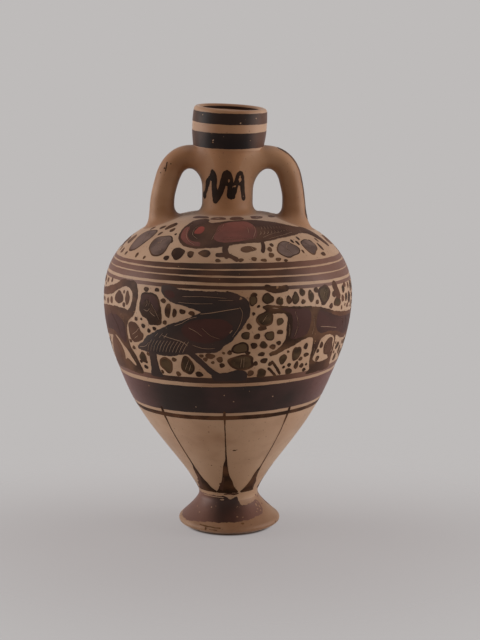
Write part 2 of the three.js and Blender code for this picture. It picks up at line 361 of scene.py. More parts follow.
def mix_colour(tree, factor, first, second):
    node = tree.nodes.new("ShaderNodeMix")
    node.data_type = "RGBA"
    for socket, value in ((node.inputs[0], factor), (node.inputs[6], first),
                          (node.inputs[7], second)):
        if isinstance(value, (int, float, tuple)):
            socket.default_value = value
        else:
            tree.links.new(value, socket)
    return node.outputs[2]


def new_material(name):
    material = bpy.data.materials.new(name)
    material.use_nodes = True
    tree = material.node_tree
    return material, tree, tree.nodes["Principled BSDF"]


BUMP_DISTANCE = 0.0002


def add_bump(tree, shader, height, strength):
    bump = tree.nodes.new("ShaderNodeBump")
    bump.inputs["Distance"].default_value = BUMP_DISTANCE
    bump.inputs["Strength"].default_value = strength
    tree.links.new(height, bump.inputs["Height"])
    tree.links.new(bump.outputs[0], shader.inputs["Normal"])


# %% Fired clay
PALE_CLAY = (175, 138, 107)
WARM_CLAY = (160, 119, 86)
DEEP_CLAY = (104, 70, 46)


def add_side_sheen(tree, colour, side_sheen, start, end, share):
    """Painted sheen: moves a colour to the sides' paler or redder one, from start to end metres out
    from the middle plane.
    """
    sides = use_group(tree, side_sheen_group, From=start, To=end)
    return mix_colour(tree, times(tree, sides["Mask"], share), colour, linear(*side_sheen))


def clay_material(name, pale, warm, rings=1.0, warm_low=0.42, warm_high=0.64, stains=0.67,
                  side_sheen=None):
    material, tree, shader = new_material(name)
    grain = use_group(tree, grain_group, Grain=1.0, Rings=rings)
    clouds = use_group(tree, cloud_group, Size=38.0, Low=warm_low, High=warm_high)
    blotches = use_group(tree, cloud_group, Size=150.0, Low=0.5, High=0.7)
    flecks = use_group(tree, fleck_group, Size=1100.0, Start=stains)
    colour = mix_colour(tree, clouds["Mask"], linear(*pale), linear(*warm))
    # painted sheen: the colour turns paler towards the sides, where a side colour is given
    if side_sheen:
        colour = add_side_sheen(tree, colour, *side_sheen)
    speckle = ramp(tree, grain["Tone"], 0.56, 0.75)
    for mask, share in ((blotches["Mask"], 0.1), (speckle, 0.22), (flecks["Mask"], 0.6)):
        colour = mix_colour(tree, times(tree, mask, share), colour, linear(*DEEP_CLAY))
    tree.links.new(colour, shader.inputs["Base Color"])
    tree.links.new(plus(tree, times(tree, grain["Tone"], 0.25), 0.45), shader.inputs["Roughness"])
    shader.inputs["Specular IOR Level"].default_value = 0.42
    shader.inputs["Sheen Weight"].default_value = 0.2
    shader.inputs["Sheen Roughness"].default_value = 0.4
    add_bump(tree, shader, grain["Height"], 0.4)
    return material


# painted sheen: the body's clay turns paler towards its sides
clay = clay_material("fired clay", PALE_CLAY, WARM_CLAY,
                     side_sheen=((196, 160, 132), 0.004, 0.017, 0.4))
# painted sheen: the mouth's clay turns paler towards its sides
collar_clay = clay_material("clay of the mouth", (160, 115, 80), (142, 96, 62),
                            side_sheen=((194, 156, 128), 0.004, 0.0118, 0.75))
foot_clay = clay_material("clay of the foot", (162, 124, 94), (144, 103, 72))
handle_clay = clay_material("hand-worked clay", (165, 121, 86), (147, 100, 64), rings=0.3,
                            warm_low=0.36, warm_high=0.6)
# painted shade: the neck's clay is darker and warmer than the body's; painted sheen makes it paler
# towards its sides
neck_clay_painted_shade = clay_material("clay of the neck with painted shade and sheen", (160, 111, 72), (143, 93, 57), rings=0.5,
                          side_sheen=((174, 134, 102), 0.0035, 0.009, 0.8))
print("clays:", clay.name, "and four that differ from it")

# %% Dark slip
DARK_SLIP = (38, 24, 17)


def slip_material(name, dark, thin, clay_shows=0.72, rough_from=0.3, cloud_size=55.0, shine=0.25,
                  sheen=0.3, side_sheen=None):
    material, tree, shader = new_material(name)
    grain = use_group(tree, grain_group, Grain=0.7, Rings=0.5)
    clouds = use_group(tree, cloud_group, Size=cloud_size, Low=0.38, High=0.66)
    flecks = use_group(tree, fleck_group, Size=620.0, Start=clay_shows)
    thin = linear(*thin)
    colour = mix_colour(tree, clouds["Mask"], linear(*dark), thin)
    # painted sheen: the colour turns paler or redder towards the sides, where a side colour is
    # given
    if side_sheen:
        colour = add_side_sheen(tree, colour, *side_sheen)
    speckle = ramp(tree, grain["Tone"], 0.5, 0.72)
    colour = mix_colour(tree, times(tree, speckle, 0.3), colour, thin)
    colour = mix_colour(tree, times(tree, flecks["Mask"], 0.75), colour, linear(*WARM_CLAY))
    tree.links.new(colour, shader.inputs["Base Color"])
    rough = plus(tree, times(tree, grain["Tone"], 0.3), rough_from)
    tree.links.new(rough, shader.inputs["Roughness"])
    shader.inputs["Specular IOR Level"].default_value = shine
    shader.inputs["Sheen Weight"].default_value = sheen
    shader.inputs["Sheen Roughness"].default_value = 0.35
    shader.inputs["Sheen Tint"].default_value = (0.75, 0.45, 0.42, 1)
    add_bump(tree, shader, grain["Height"], 0.2)
    return material


dark_slip = slip_material("dark slip", DARK_SLIP, (60, 37, 27))
dark_throat = slip_material("dark lining inside the mouth", (48, 30, 22), (70, 44, 32), clay_shows=0.75,
                            rough_from=0.55, shine=0.1)
# painted sheen: the mouth bands turn paler and redder towards the sides
mouth_slip = slip_material("slip of the mouth bands", (27, 17, 14), (46, 30, 24), shine=0.13,
                           sheen=0.15, side_sheen=((100, 70, 56), 0.0062, 0.0122, 0.85))
# painted sheen: the broad band turns paler and redder towards the sides
broad_slip = slip_material("slip of the broad band", DARK_SLIP, (58, 35, 30),
                           side_sheen=((112, 68, 62), 0.018, 0.036, 0.85))
# painted sheen: the narrow bands turn paler and redder towards the sides
band_slip = slip_material("slip of the narrow bands", (52, 33, 22), (82, 52, 37), shine=0.17,
                          sheen=0.14, side_sheen=((122, 84, 70), 0.0165, 0.028, 0.82))
# painted sheen: the foot's slip turns paler and redder towards the sides
foot_slip = slip_material("slip on the foot", (50, 30, 23), (70, 42, 34), clay_shows=0.7,
                          cloud_size=45.0, side_sheen=((127, 87, 73), 0.002, 0.0085, 0.82))
ray_slip = slip_material("brown slip of the rays", (47, 29, 17), (88, 57, 37), clay_shows=0.7,
                         rough_from=0.4, cloud_size=120.0, shine=0.08, sheen=0.15)
brushed_slip = slip_material("quickly brushed slip", (36, 24, 17), (66, 43, 30), rough_from=0.4,
                             shine=0.08, sheen=0.15)
print("slips for the bands, the foot, the rays and the neck:", band_slip.name)

# %% Slip that is thin, rubbed or stained
# painted sheen: the rubbed slip turns paler and redder towards the sides
worn_slip = slip_material("rubbed dark slip", (51, 32, 21), (96, 66, 46), clay_shows=0.7,
                          rough_from=0.36, cloud_size=110.0, shine=0.09, sheen=0.12,
                          side_sheen=((112, 72, 54), 0.024, 0.04, 0.6))
rubbed_slip = slip_material("greyed slip in the middle of dabs", (80, 61, 53), (112, 90, 81),
                            clay_shows=0.68, rough_from=0.4, cloud_size=160.0, shine=0.14)
olive_slip = slip_material("thin olive slip", (58, 42, 28), (86, 66, 46), clay_shows=0.7,
                           rough_from=0.4, cloud_size=140.0, shine=0.09, sheen=0.14)
bird_slip = slip_material("brown slip of the shoulder bird", (64, 42, 32), (88, 60, 46),
                          rough_from=0.42, cloud_size=90.0, shine=0.08, sheen=0.15)
brown_slip = slip_material("thin brown slip", (74, 47, 34), (96, 64, 47), clay_shows=0.7,
                           rough_from=0.42, shine=0.12, sheen=0.15)
stain_slip = slip_material("faint stains", (100, 68, 42), (118, 82, 54), clay_shows=0.7,
                           rough_from=0.5, shine=0.1)
print("thin slips:", worn_slip.name, "and", olive_slip.name)

# %% Purple-red laid over the slip
red_slip = slip_material("added red", (120, 68, 58), (98, 58, 49), rough_from=0.42,
                         cloud_size=90.0, shine=0.12, sheen=0.2)
dull_red = slip_material("rubbed added red", (74, 45, 39), (58, 38, 32), clay_shows=0.74,
                         rough_from=0.42, cloud_size=80.0, shine=0.12, sheen=0.2)
bright_red = slip_material("bright added red", (158, 62, 50), (130, 58, 46), clay_shows=0.78,
                           rough_from=0.42, shine=0.12)
print("reds:", red_slip.name, dull_red.name, bright_red.name)

# %% [markdown]
# ## The body
# The body was thrown as one shell with its base closed. Its outline goes up the outside, down a
# step at the opening where the neck seats, and back down the inside.

# %% Body
BODY_WALL = 3.6
FLOOR_INSIDE = 22
NARROW_AT = 101.2


def offset(outline, distance):
    """An outline moved to its right-hand side when walked from first to last point."""
    along = np.gradient(outline, axis=0)
    along /= np.linalg.norm(along, axis=1)[:, None]
    return outline + np.column_stack([along[:, 1], -along[:, 0]]) * distance


inner_wall = offset(wall, -BODY_WALL)
inner_wall = inner_wall[(inner_wall[:, 1] > FLOOR_INSIDE) & (inner_wall[:, 1] < NARROW_AT)
                        & (inner_wall[:, 0] > BORE)]
body_outline = np.vstack([
    [(0, 9.3), (BORE, 9.3), (BORE, FOOT_JOINT)],
    even(wall, 0.8),
    [(OPENING, NECK_SEAT), (BORE, NECK_SEAT)],
    even(inner_wall[::-1], 2.0),
    [(0, FLOOR_INSIDE - 1)]])
thrown("body", body_outline, clay)

# %% [markdown]
# ## Foot, neck and the clay that joins them
# The foot is a flaring cone with a rounded rim. The rim stops just short of the ground, because the
# foot stands on a ring inside it, and so a dark line shows below the jar: the gap under the rim,
# and a shadow painted on the floor below it. The neck widens towards the mouth. In each corner the
# potter ran a finger with wet clay, and that soft hollow curve is a piece of its own.

# %% Foot and neck
foot_solid = np.vstack([
    [(0, 9.0), (5.9, 9.0), (5.9, FOOT_JOINT), (STEM, FOOT_JOINT)],
    even(foot_outline[foot_outline[:, 1] < FOOT_JOINT - 0.05], 0.5),
    [(13.9, 0.7), (13.3, 0.1), (13.1, 0), (12.5, 0), (12.2, 0.2)],
    bow((12.2, 0.2), (11.8, 1.2), (6.5, 2.0), (0, 2.0), 14)[1:]])[::-1]
thrown("foot", foot_solid, foot_clay)

neck_solid = np.vstack([
    [(BORE, NECK_SEAT), (NECK_RADIUS, NECK_SEAT)],
    even(neck_outline[1:], 0.8),
    [(10.5, 127.3), (BORE, 127.3)]])
thrown("neck", neck_solid, neck_clay_painted_shade, columns=160)

# %% The two rings of joining clay
neck_ring = bow((12.0, shoulder_height(12.0)), (9.8, shoulder_height(12.0) + 0.15),
                (8.22, 105.9), (NECK_RADIUS, 108.6), 16)
neck_ring_solid = np.vstack([neck_ring, [(7.8, 108.4), (7.8, 104.4), (11.6, 104.4)]])
thrown("neck_luting", neck_ring_solid, neck_clay_painted_shade, columns=160)

foot_ring = bow((foot_radius(9.9), 9.9), (9.45, 10.9), (9.6, 12.4), (wall_radius(15.2), 15.2), 14)
foot_ring_solid = np.vstack([[(8.6, 10.6)], foot_ring, [(8.6, 14.6)]])
thrown("foot_luting", foot_ring_solid, clay, columns=160)

# %% [markdown]
# ## The mouth
# The mouth is a tall collar with a rounded lip, set on the neck a little askew. It is drawn about
# its own axis and then tipped, to the front and to the right.

# %% Mouth collar
tip_x, tip_y = math.radians(2.5), math.radians(3.2)
turn_x = np.array([[1, 0, 0], [0, math.cos(tip_x), -math.sin(tip_x)],
                   [0, math.sin(tip_x), math.cos(tip_x)]])
turn_y = np.array([[math.cos(tip_y), 0, math.sin(tip_y)], [0, 1, 0],
                   [-math.sin(tip_y), 0, math.cos(tip_y)]])
collar_turn = turn_x @ turn_y


def on_collar(points):
    return np.asarray(points) @ collar_turn.T + (0, 0, NECK_TOP)


LIP = 1.2
lip = [(10.6 + LIP * math.cos(a), 11.7 + LIP * math.sin(a)) for a in np.linspace(0, math.pi, 15)]
collar_wall = np.vstack([
    bow((11.3, 0), (11.8, 3.0), (12.0, 5.2), (12.0, 7.5), 20),
    bow((12.0, 7.5), (12.0, 9.0), (11.9, 10.2), (11.8, 11.7), 12)[1:]])
collar_throat = bow((8.8, 10.5), (8.8, 5.8), (6.8, 3.9), (BORE, 0), 20)
collar_solid = np.vstack([[(BORE, 0)], collar_wall, lip[1:], collar_throat[:-1]])
points, faces = spin(collar_solid, 192)
make_piece("mouth_collar", settle(on_collar(points)), faces, collar_clay,
           ["mouth_collar"])


# %% [markdown]
# ## The handles
# Each handle was pulled from a roll of clay, so it has an oval section and no sharp edge. A smooth
# line carries the section from the neck, over the knee and down to the shoulder.

# %% A smooth line through points
def through(points, step, closed=False):
    """A smooth line through chosen points, with new points about a step apart."""
    p = np.array(points, float)
    n = len(p)
    if closed:
        p = np.vstack([p[-1], p, p[:2]])
    else:
        p = np.vstack([2 * p[0] - p[1], p, 2 * p[-1] - p[-2]])
    out = []
    for i in range(1, (n if closed else n - 1) + 1):
        a, b, c, d = p[i - 1:i + 3]
        ab, bc, cd = (max(np.linalg.norm(q[:2]), 1e-6) ** 0.5 for q in (b - a, c - b, d - c))
        m1 = (b - a) / ab - (c - a) / (ab + bc) + (c - b) / bc
        m2 = (c - b) / bc - (d - b) / (bc + cd) + (d - c) / cd
        m1, m2 = m1 * bc, m2 * bc
        count = max(1, int(np.linalg.norm((c - b)[:2]) / step + 0.5))
        t = np.linspace(0, 1, count, endpoint=False)[:, None]
        out.append((2 * t**3 - 3 * t**2 + 1) * b + (t**3 - 2 * t**2 + t) * m1
                   + (3 * t**2 - 2 * t**3) * c + (t**3 - t**2) * m2)
    if not closed:
        out.append(p[-2:-1])
    return np.vstack(out)


# %% Handle surface
HANDLE_SIDES = 48
SIDES = (("left", -1), ("right", 1))
# distance out, height, half the thickness and half the depth
handle_stations = [
    (7.8, 122.7, 3.7, 5.2), (10.5, 123.15, 3.7, 5.1), (13.2, 123.15, 3.75, 4.9),
    (15.8, 122.3, 3.9, 4.7), (17.95, 120.4, 4.0, 4.65), (19.3, 117.9, 4.0, 4.6),
    (20.15, 115, 3.95, 4.6), (20.95, 111, 3.85, 4.6), (21.2, 108, 3.95, 4.65),
    (21.3, 105, 4.05, 4.7), (21.45, 102.5, 4.15, 4.9), (21.5, 100.5, 4.2, 5.0)]
# each handle came out a little different: how far its middle and its thickness are off
handle_changes = {-1: ([0, 0, -0.05, -0.3, -0.35, -0.3, -0.2, -0.05, 0, 0, 0, 0],
                       [0, 0, 0, -0.1, -0.15, -0.1, -0.1, 0, 0, 0, 0, 0]),
                  1: ([0, 0, 0, 0.1, 0.25, 0.35, 0.35, 0.35, 0.35, 0.45, 0.6, 0.7],
                      [0, 0, -0.15, -0.25, -0.3, -0.3, -0.3, -0.25, -0.2, -0.1, 0, 0])}


BOXY = 0.9


def handle_rows(side):
    """Rings of points along a handle, from the neck down to the shoulder."""
    stations = np.array(handle_stations)
    stations[:, 0] += handle_changes[side][0]
    stations[:, 2] += handle_changes[side][1]
    line = through(stations, 0.6)
    along = np.gradient(line[:, :2], axis=0)
    along /= np.linalg.norm(along, axis=1)[:, None]
    out_x, out_z = -along[:, 1], along[:, 0]
    turn = np.arange(HANDLE_SIDES) * 2 * math.pi / HANDLE_SIDES
    c, s = np.cos(turn), np.sin(turn)
    c = np.sign(c) * np.abs(c) ** BOXY
    s = np.sign(s) * np.abs(s) ** BOXY
    rows = np.zeros((len(line), HANDLE_SIDES, 3))
    rows[:, :, 0] = side * (line[:, 0:1] + out_x[:, None] * line[:, 2:3] * c)
    rows[:, :, 1] = line[:, 3:4] * s * side
    rows[:, :, 2] = line[:, 1:2] + out_z[:, None] * line[:, 2:3] * c
    return rows


def tube_faces(rows, sides):
    faces = [(i * sides + j, (i + 1) * sides + j,
              (i + 1) * sides + (j + 1) % sides, i * sides + (j + 1) % sides)
             for i in range(rows - 1) for j in range(sides)]
    faces.append(tuple(range(sides)))
    faces.append(tuple(range((rows - 1) * sides, rows * sides))[::-1])
    return faces


for name, side in SIDES:
    rows = handle_rows(side)
    node = name + "_handle"
    make_piece(node, settle(rows.reshape(-1, 3)), tube_faces(len(rows), HANDLE_SIDES), handle_clay,
               [node])


# %% [markdown]
# ## Clay smeared round the handles' ends
# Where a handle meets the neck or the shoulder, the potter pressed clay into the corner. Each
# smear is a ring that leaves the handle along its surface, sweeps round the corner and runs out
# flat on the wall, so no edge shows.

# %% How far a point is above the shoulder or the neck
def shoulder_depth(p):
    r = math.hypot(p[0], p[1])
    slope = shoulder_height(r + 0.5) - shoulder_height(r - 0.5)
    return (p[2] - shoulder_height(r)) / math.sqrt(1 + slope * slope)


def on_shoulder(p):
    return np.array([p[0], p[1], shoulder_height(math.hypot(p[0], p[1]))])


def neck_depth(p):
    return math.hypot(p[0], p[1]) - neck_radius(p[2])


def on_neck(p):
    scale = neck_radius(p[2]) / math.hypot(p[0], p[1])
    return np.array([p[0] * scale, p[1] * scale, p[2]])


def unit(v):
    return v / np.linalg.norm(v)


def slope_of(depth, p):
    """The direction in which depth grows fastest at p: straight out of the wall."""
    step = 0.05
    return unit(np.array([depth(p + d) - depth(p - d) for d in np.eye(3) * step]) / (2 * step))


# %% Lay a ring of clay into the corner
CURVED = 0.62


def smear(rows, depth, put_on, up, out):
    """rows run away from the wall; up and out give how far the clay runs on handle and wall."""
    centre = rows.mean(axis=1)
    ring = []
    for j in range(rows.shape[1]):
        column = rows[:, j]
        deep = np.array([depth(p) for p in column])
        i = int(np.argmax(deep > 0))
        share = -deep[i - 1] / (deep[i] - deep[i - 1])
        corner = column[i - 1] + (column[i] - column[i - 1]) * share
        run = length_along(column)
        reach = run[i - 1] + (run[i] - run[i - 1]) * share + up[j]
        start = np.array([np.interp(reach, run, column[:, k]) for k in range(3)])
        behind = np.array([np.interp(reach - 0.3, run, column[:, k]) for k in range(3)])
        start_in = unit(behind - start)
        side_way = corner - (centre[i - 1] + (centre[i] - centre[i - 1]) * share)
        k = int(np.argmin(np.abs(run - reach)))
        start_out = unit(column[k] - centre[k])
        wall_out = slope_of(depth, corner)
        away = unit(side_way - wall_out * side_way.dot(wall_out))
        end = put_on(corner + away * out[j])
        end_wall = slope_of(depth, end)
        back = unit(corner - end - end_wall * (corner - end).dot(end_wall))
        curve = bow(start, start + start_in * up[j] * CURVED, end + back * out[j] * CURVED, end, 10)
        # from here on the ring lies inside the clay
        hidden = [end - end_wall * 0.5 + back * 0.3, corner - wall_out * 0.8 - side_way * 0.12,
                  start - start_out * 0.4 + start_in * 0.3]
        ring.append(np.vstack([curve, hidden]))
    ring = np.array(ring)
    sides, around = ring.shape[:2]
    faces = [(j * around + k, j * around + (k + 1) % around,
              ((j + 1) % sides) * around + (k + 1) % around, ((j + 1) % sides) * around + k)
             for j in range(sides) for k in range(around)]
    return ring.reshape(-1, 3), faces


# %% The four smears
SMEAR_SHARP = 50
around = np.arange(HANDLE_SIDES) * 2 * math.pi / HANDLE_SIDES
inward = (1 - np.cos(around)) / 2
sideways = np.sin(around) ** 2
under_the_handle = {-1: (3.6, 4.8), 1: (4.6, 6.0)}
for name, side in SIDES:
    rows = handle_rows(side)
    more_up, more_out = under_the_handle[side]
    node = name + "_handle_lower_luting"
    points, faces = smear(rows[::-1], shoulder_depth, on_shoulder,
                          up=3.2 + 0.9 * inward + 0.6 * sideways,
                          out=2.0 + 1.2 * inward + 1.2 * sideways)
    make_piece(node, settle(points), faces, handle_clay, [node], SMEAR_SHARP)
    node = name + "_handle_upper_luting"
    points, faces = smear(rows, neck_depth, on_neck,
                          up=1.6 + more_up * inward + 1.0 * sideways,
                          out=0.5 + more_out * inward + 2.2 * sideways)
    make_piece(node, settle(points), [f[::-1] for f in faces], handle_clay, [node],
               SMEAR_SHARP)

# %% [markdown]
# ## Painting with thin skins
# The slip was brushed on before the firing, and it is a layer with an edge. An image would give the
# colour but no edge, so each patch of slip is a closed skin, less than a tenth of a millimetre
# thick. It is drawn on a flat sheet in angle and height, cut into triangles, and then laid on the
# clay. Lines that the potter scratched through the slip are left out of the skin, so the clay
# shows in them.

# %% Sheets that wrap round the parts of the jar
WALL_DEGREE = 0.7
NECK_DEGREE = 0.15
COLLAR_DEGREE = 0.21
FOOT_DEGREE = 0.23
RAY_DEGREE = 0.3


def round_sheet(degree, radius):
    """A sheet wrapped round the jar, on which one degree is so many millimetres wide."""
    def place(flat):
        turn = np.radians(flat[:, 0] / degree)
        r = radius(flat[:, 1])
        return np.column_stack([r * np.sin(turn), -r * np.cos(turn), flat[:, 1]])

    return place


def stem_radius(z):
    """The outside of foot, joining clay and body as one outline."""
    ring = np.interp(z, foot_ring[:, 1], foot_ring[:, 0])
    r = np.where(z < foot_ring[0, 1], foot_radius(z), ring)
    return np.where(z > foot_ring[-1, 1], wall_radius(z), r)


wall_sheet = round_sheet(WALL_DEGREE, stem_radius)
foot_sheet = round_sheet(FOOT_DEGREE, stem_radius)
ray_sheet = round_sheet(RAY_DEGREE, stem_radius)
neck_sheet = round_sheet(NECK_DEGREE, neck_radius)
straight_collar = round_sheet(COLLAR_DEGREE,
                              lambda h: np.interp(h, collar_wall[:, 1], collar_wall[:, 0]))


def collar_sheet(flat):
    return on_collar(straight_collar(flat))


def shoulder_sheet(flat):
    return np.column_stack([flat, shoulder_height(np.hypot(flat[:, 0], flat[:, 1]))])


def lay(sheet, flat):
    """Places on the jar, and the directions that point out of the clay there."""
    step = 0.01
    here = settle(sheet(flat))
    right = settle(sheet(flat + (step, 0))) - here
    up = settle(sheet(flat + (0, step))) - here
    out = np.cross(right, up)
    return here, out / np.linalg.norm(out, axis=1)[:, None]


print("a degree on the belly is", WALL_DEGREE, "mm of sheet")

# %% Edges as a brush leaves them
hand = np.random.default_rng(12)
BRUSH_ROUGH = 0.05


def uneven(edge, amount):
    """Moves each point of a closed edge a little to the side, in waves of a few lengths."""
    ahead = np.roll(edge, -1, axis=0) - np.roll(edge, 1, axis=0)
    side = np.column_stack([ahead[:, 1], -ahead[:, 0]])
    side /= np.maximum(np.linalg.norm(side, axis=1), 1e-9)[:, None]
    run = length_along(edge)
    length = run[-1] + np.linalg.norm(edge[0] - edge[-1])
    wave = np.zeros(len(edge))
    for size, share in ((5.0, 0.7), (2.2, 0.6), (1.1, 0.4)):
        count = max(1, round(length / size))
        wave += share * np.sin(2 * math.pi * count * run / length + hand.uniform(0, 2 * math.pi))
    return edge + side * (wave * amount)[:, None]


def anticlockwise(edge):
    x, y = edge[:, 0], edge[:, 1]
    area = np.sum(x * np.roll(y, -1) - y * np.roll(x, -1))
    return edge if area > 0 else edge[::-1]


EDGE_STEP = 0.4


def shape(points, degree=WALL_DEGREE, rough=0.09, step=EDGE_STEP):
    """A closed soft outline through points that are given as angle and height."""
    flat = np.array(points, float) * (degree, 1)
    return anticlockwise(uneven(through(flat, step, closed=True), rough))


def blob(angle, height, wide, high, degree=WALL_DEGREE, lean=0.0):
    """A round-ish dab; wide is in degrees and high in millimetres."""
    a, b = wide * degree / 2, high / 2
    count = max(12, int(2 * math.pi * max(a, b) / EDGE_STEP))
    turn = np.arange(count) * 2 * math.pi / count
    size = 1 + sum(s * np.sin(k * turn + hand.uniform(0, 2 * math.pi))
                   for k, s in ((2, 0.07), (3, 0.07), (4, 0.04), (6, 0.02)))
    x, y = a * size * np.cos(turn), b * size * np.sin(turn)
    lean = math.radians(lean)
    return np.column_stack([angle * degree + x * math.cos(lean) - y * math.sin(lean),
                            height + x * math.sin(lean) + y * math.cos(lean)])


# %% Strokes and scratches
def blobs(rows, degree=WALL_DEGREE, wider=0.0, higher=0.0, size=1.0):
    """Dabs from rows of angle, height, width, the dab's own height and, if it has one, its lean."""
    return [blob(angle, height, wide * size + wider, high * size + higher, degree, *lean)
            for angle, height, wide, high, *lean in rows]


def brush(points, width, degree=WALL_DEGREE):
    """A stroke along points; each may carry its own width as a third number."""
    rows = [tuple(p) + ((width,) if len(p) == 2 else ()) for p in points]
    line = through(np.array(rows, float) * (degree, 1, 1), EDGE_STEP)
    middle, half = line[:, :2], line[:, 2] / 2
    along = np.gradient(middle, axis=0)
    along /= np.maximum(np.linalg.norm(along, axis=1), 1e-9)[:, None]
    side = np.column_stack([-along[:, 1], along[:, 0]])
    bend = np.linspace(0, math.pi, 7)[1:-1]
    caps = []
    for i, way in ((-1, 1), (0, -1)):
        caps.append([middle[i] + way * half[i] * (side[i] * math.cos(b) + along[i] * math.sin(b))
                     for b in bend])
    edge = np.vstack([middle + side * half[:, None], caps[0],
                      (middle - side * half[:, None])[::-1], caps[1]])
    return anticlockwise(uneven(edge, BRUSH_ROUGH))


def marks(rows, degree=WALL_DEGREE):
    """Strokes, each a list of points and a width, and dabs, each a row of numbers."""
    return [brush(*row, degree) if isinstance(row[0], list) else blobs([row], degree)[0]
            for row in rows]


def scratch(points, width=0.16, degree=WALL_DEGREE):
    """A line drawn through the slip with a point; its ends run out thin."""
    flat = np.array(points, float) * (degree, 1)
    middle = through(flat, 0.5) if len(flat) > 2 else np.linspace(flat[0], flat[1], 8)
    half = np.full(len(middle), width / 2)
    half[0] = half[-1] = width * 0.15
    along = np.gradient(middle, axis=0)
    side = np.column_stack([-along[:, 1], along[:, 0]])
    side *= (half / np.linalg.norm(side, axis=1))[:, None]
    return anticlockwise(np.vstack([middle + side, (middle - side)[::-1]]))


# %% Lay a drawing on the clay
def inside(points, edge):
    """Which points lie in a closed edge."""
    x, y = points[:, 0:1], points[:, 1:2]
    x1, y1 = edge[:, 0], edge[:, 1]
    x2, y2 = np.roll(x1, -1), np.roll(y1, -1)
    spans = (y1 <= y) != (y2 <= y)
    with np.errstate(divide="ignore", invalid="ignore"):
        cross = x1 + (y - y1) * (x2 - x1) / (y2 - y1)
    return (np.where(spans & (cross > x), 1, 0).sum(axis=1) % 2) == 1


def inner_points(edges, spacing):
    """An even pattern of points inside the larger shapes, so that their skins can curve."""
    rows = []
    for edge in edges:
        low, high = edge.min(axis=0), edge.max(axis=0)
        if (high - low).min() < 2 * spacing:
            continue
        cols = np.arange(math.floor(low[0] / spacing), math.ceil(high[0] / spacing) + 1)
        lines = np.arange(math.floor(low[1] / spacing), math.ceil(high[1] / spacing) + 1)
        x, y = np.meshgrid(cols, lines)
        grid = np.column_stack([((x + 0.5 * (y % 2)) * spacing).ravel(), (y * spacing).ravel()])
        rows += [tuple(p) for p in grid[inside(grid, edge)]]
    return sorted(set(rows))


SKIN_TOP, SKIN_UNDER = 0.05, -0.03
DAB_TOP, FIGURE_TOP = 0.055, 0.06
RUBBED = {"top": 0.065, "under": 0.02}
RED = {"slot": "red_slip", "top": 0.08, "under": 0.02}
CHIPS = {"slot": "clay", "top": 0.058, "under": 0.02, "spacing": 0.5}


def paint(name, sheet, filled, cut, material, slot="painted_clay", top=SKIN_TOP, under=SKIN_UNDER,
          spacing=0.9):
    """A skin of slip over the filled shapes, without the cut ones."""
    flat, loops = [], []
    for edge in list(filled) + list(cut):
        loops.append(list(range(len(flat), len(flat) + len(edge))))
        flat += [tuple(p) for p in edge]
    flat += inner_points(filled, spacing)
    corners, _, triangles, *_ = delaunay_2d_cdt([Vector(p) for p in flat], [], loops, 0, 1e-6)
    middles = np.array([c[:] for c in corners])[np.array(triangles)].mean(axis=1)
    covered = np.any([inside(middles, edge) for edge in filled], axis=0)
    for edge in cut:
        covered &= ~inside(middles, edge)
    kept = [t for t, on in zip(triangles, covered) if on]
    used = sorted({v for t in kept for v in t})
    new = {v: i for i, v in enumerate(used)}
    kept = [tuple(new[v] for v in t) for t in kept]
    here, out = lay(sheet, np.array([corners[v][:] for v in used]))
    count = len(used)
    faces = kept + [tuple(v + count for v in t[::-1]) for t in kept]
    sides = {(t[k], t[(k + 1) % len(t)]) for t in kept for k in range(len(t))}
    for a, b in sorted(sides):
        if (b, a) not in sides:
            faces.append((b, a, a + count, b + count))
    make_piece(name, np.vstack([here + out * top, here + out * under]), faces, material,
               normals=np.vstack([out, -out]))


# %% Fill the room that is left between shapes
def room_at(spots, edges):
    """How far each spot is from the nearest edge; 0 inside a shape."""
    points = np.vstack(edges)
    room = np.concatenate([np.sqrt(((part[:, None] - points) ** 2).sum(axis=2).min(axis=1))
                           for part in np.array_split(spots, 12)])
    for edge in edges:
        low, high = edge.min(axis=0), edge.max(axis=0)
        near = np.flatnonzero(((spots > low) & (spots < high)).all(axis=1))
        room[near[inside(spots[near], edge)]] = 0
    return room


TRIES = 3500


def fill_room(low, high, edges, gap, smallest, largest):
    """Dabs for the free room between edges: always the largest that fits, until none does."""
    spots = hand.uniform(low, high, (TRIES, 2))
    room = room_at(spots, edges)
    dabs = []
    while True:
        at = int(np.argmax(room))
        size = min(room[at] - gap, largest)
        if size < smallest:
            return dabs
        longer = hand.uniform(0.85, 1.15)
        dabs.append(blob(spots[at, 0], spots[at, 1], 2 * size * longer, 2 * size / longer, 1,
                         hand.uniform(-40, 40)))
        room = np.minimum(room, np.hypot(*(spots - spots[at]).T) - size)


# %% A band that goes right round
def wave_round(turn, amount):
    """A small unevenness that joins up after a whole turn."""
    return amount * sum(s * np.sin(k * turn + hand.uniform(0, 2 * math.pi))
                        for k, s in ((2, 0.5), (3, 0.5), (7, 0.4), (13, 0.4), (29, 0.3),
                                     (53, 0.25)))


BAND_COLUMNS = 480


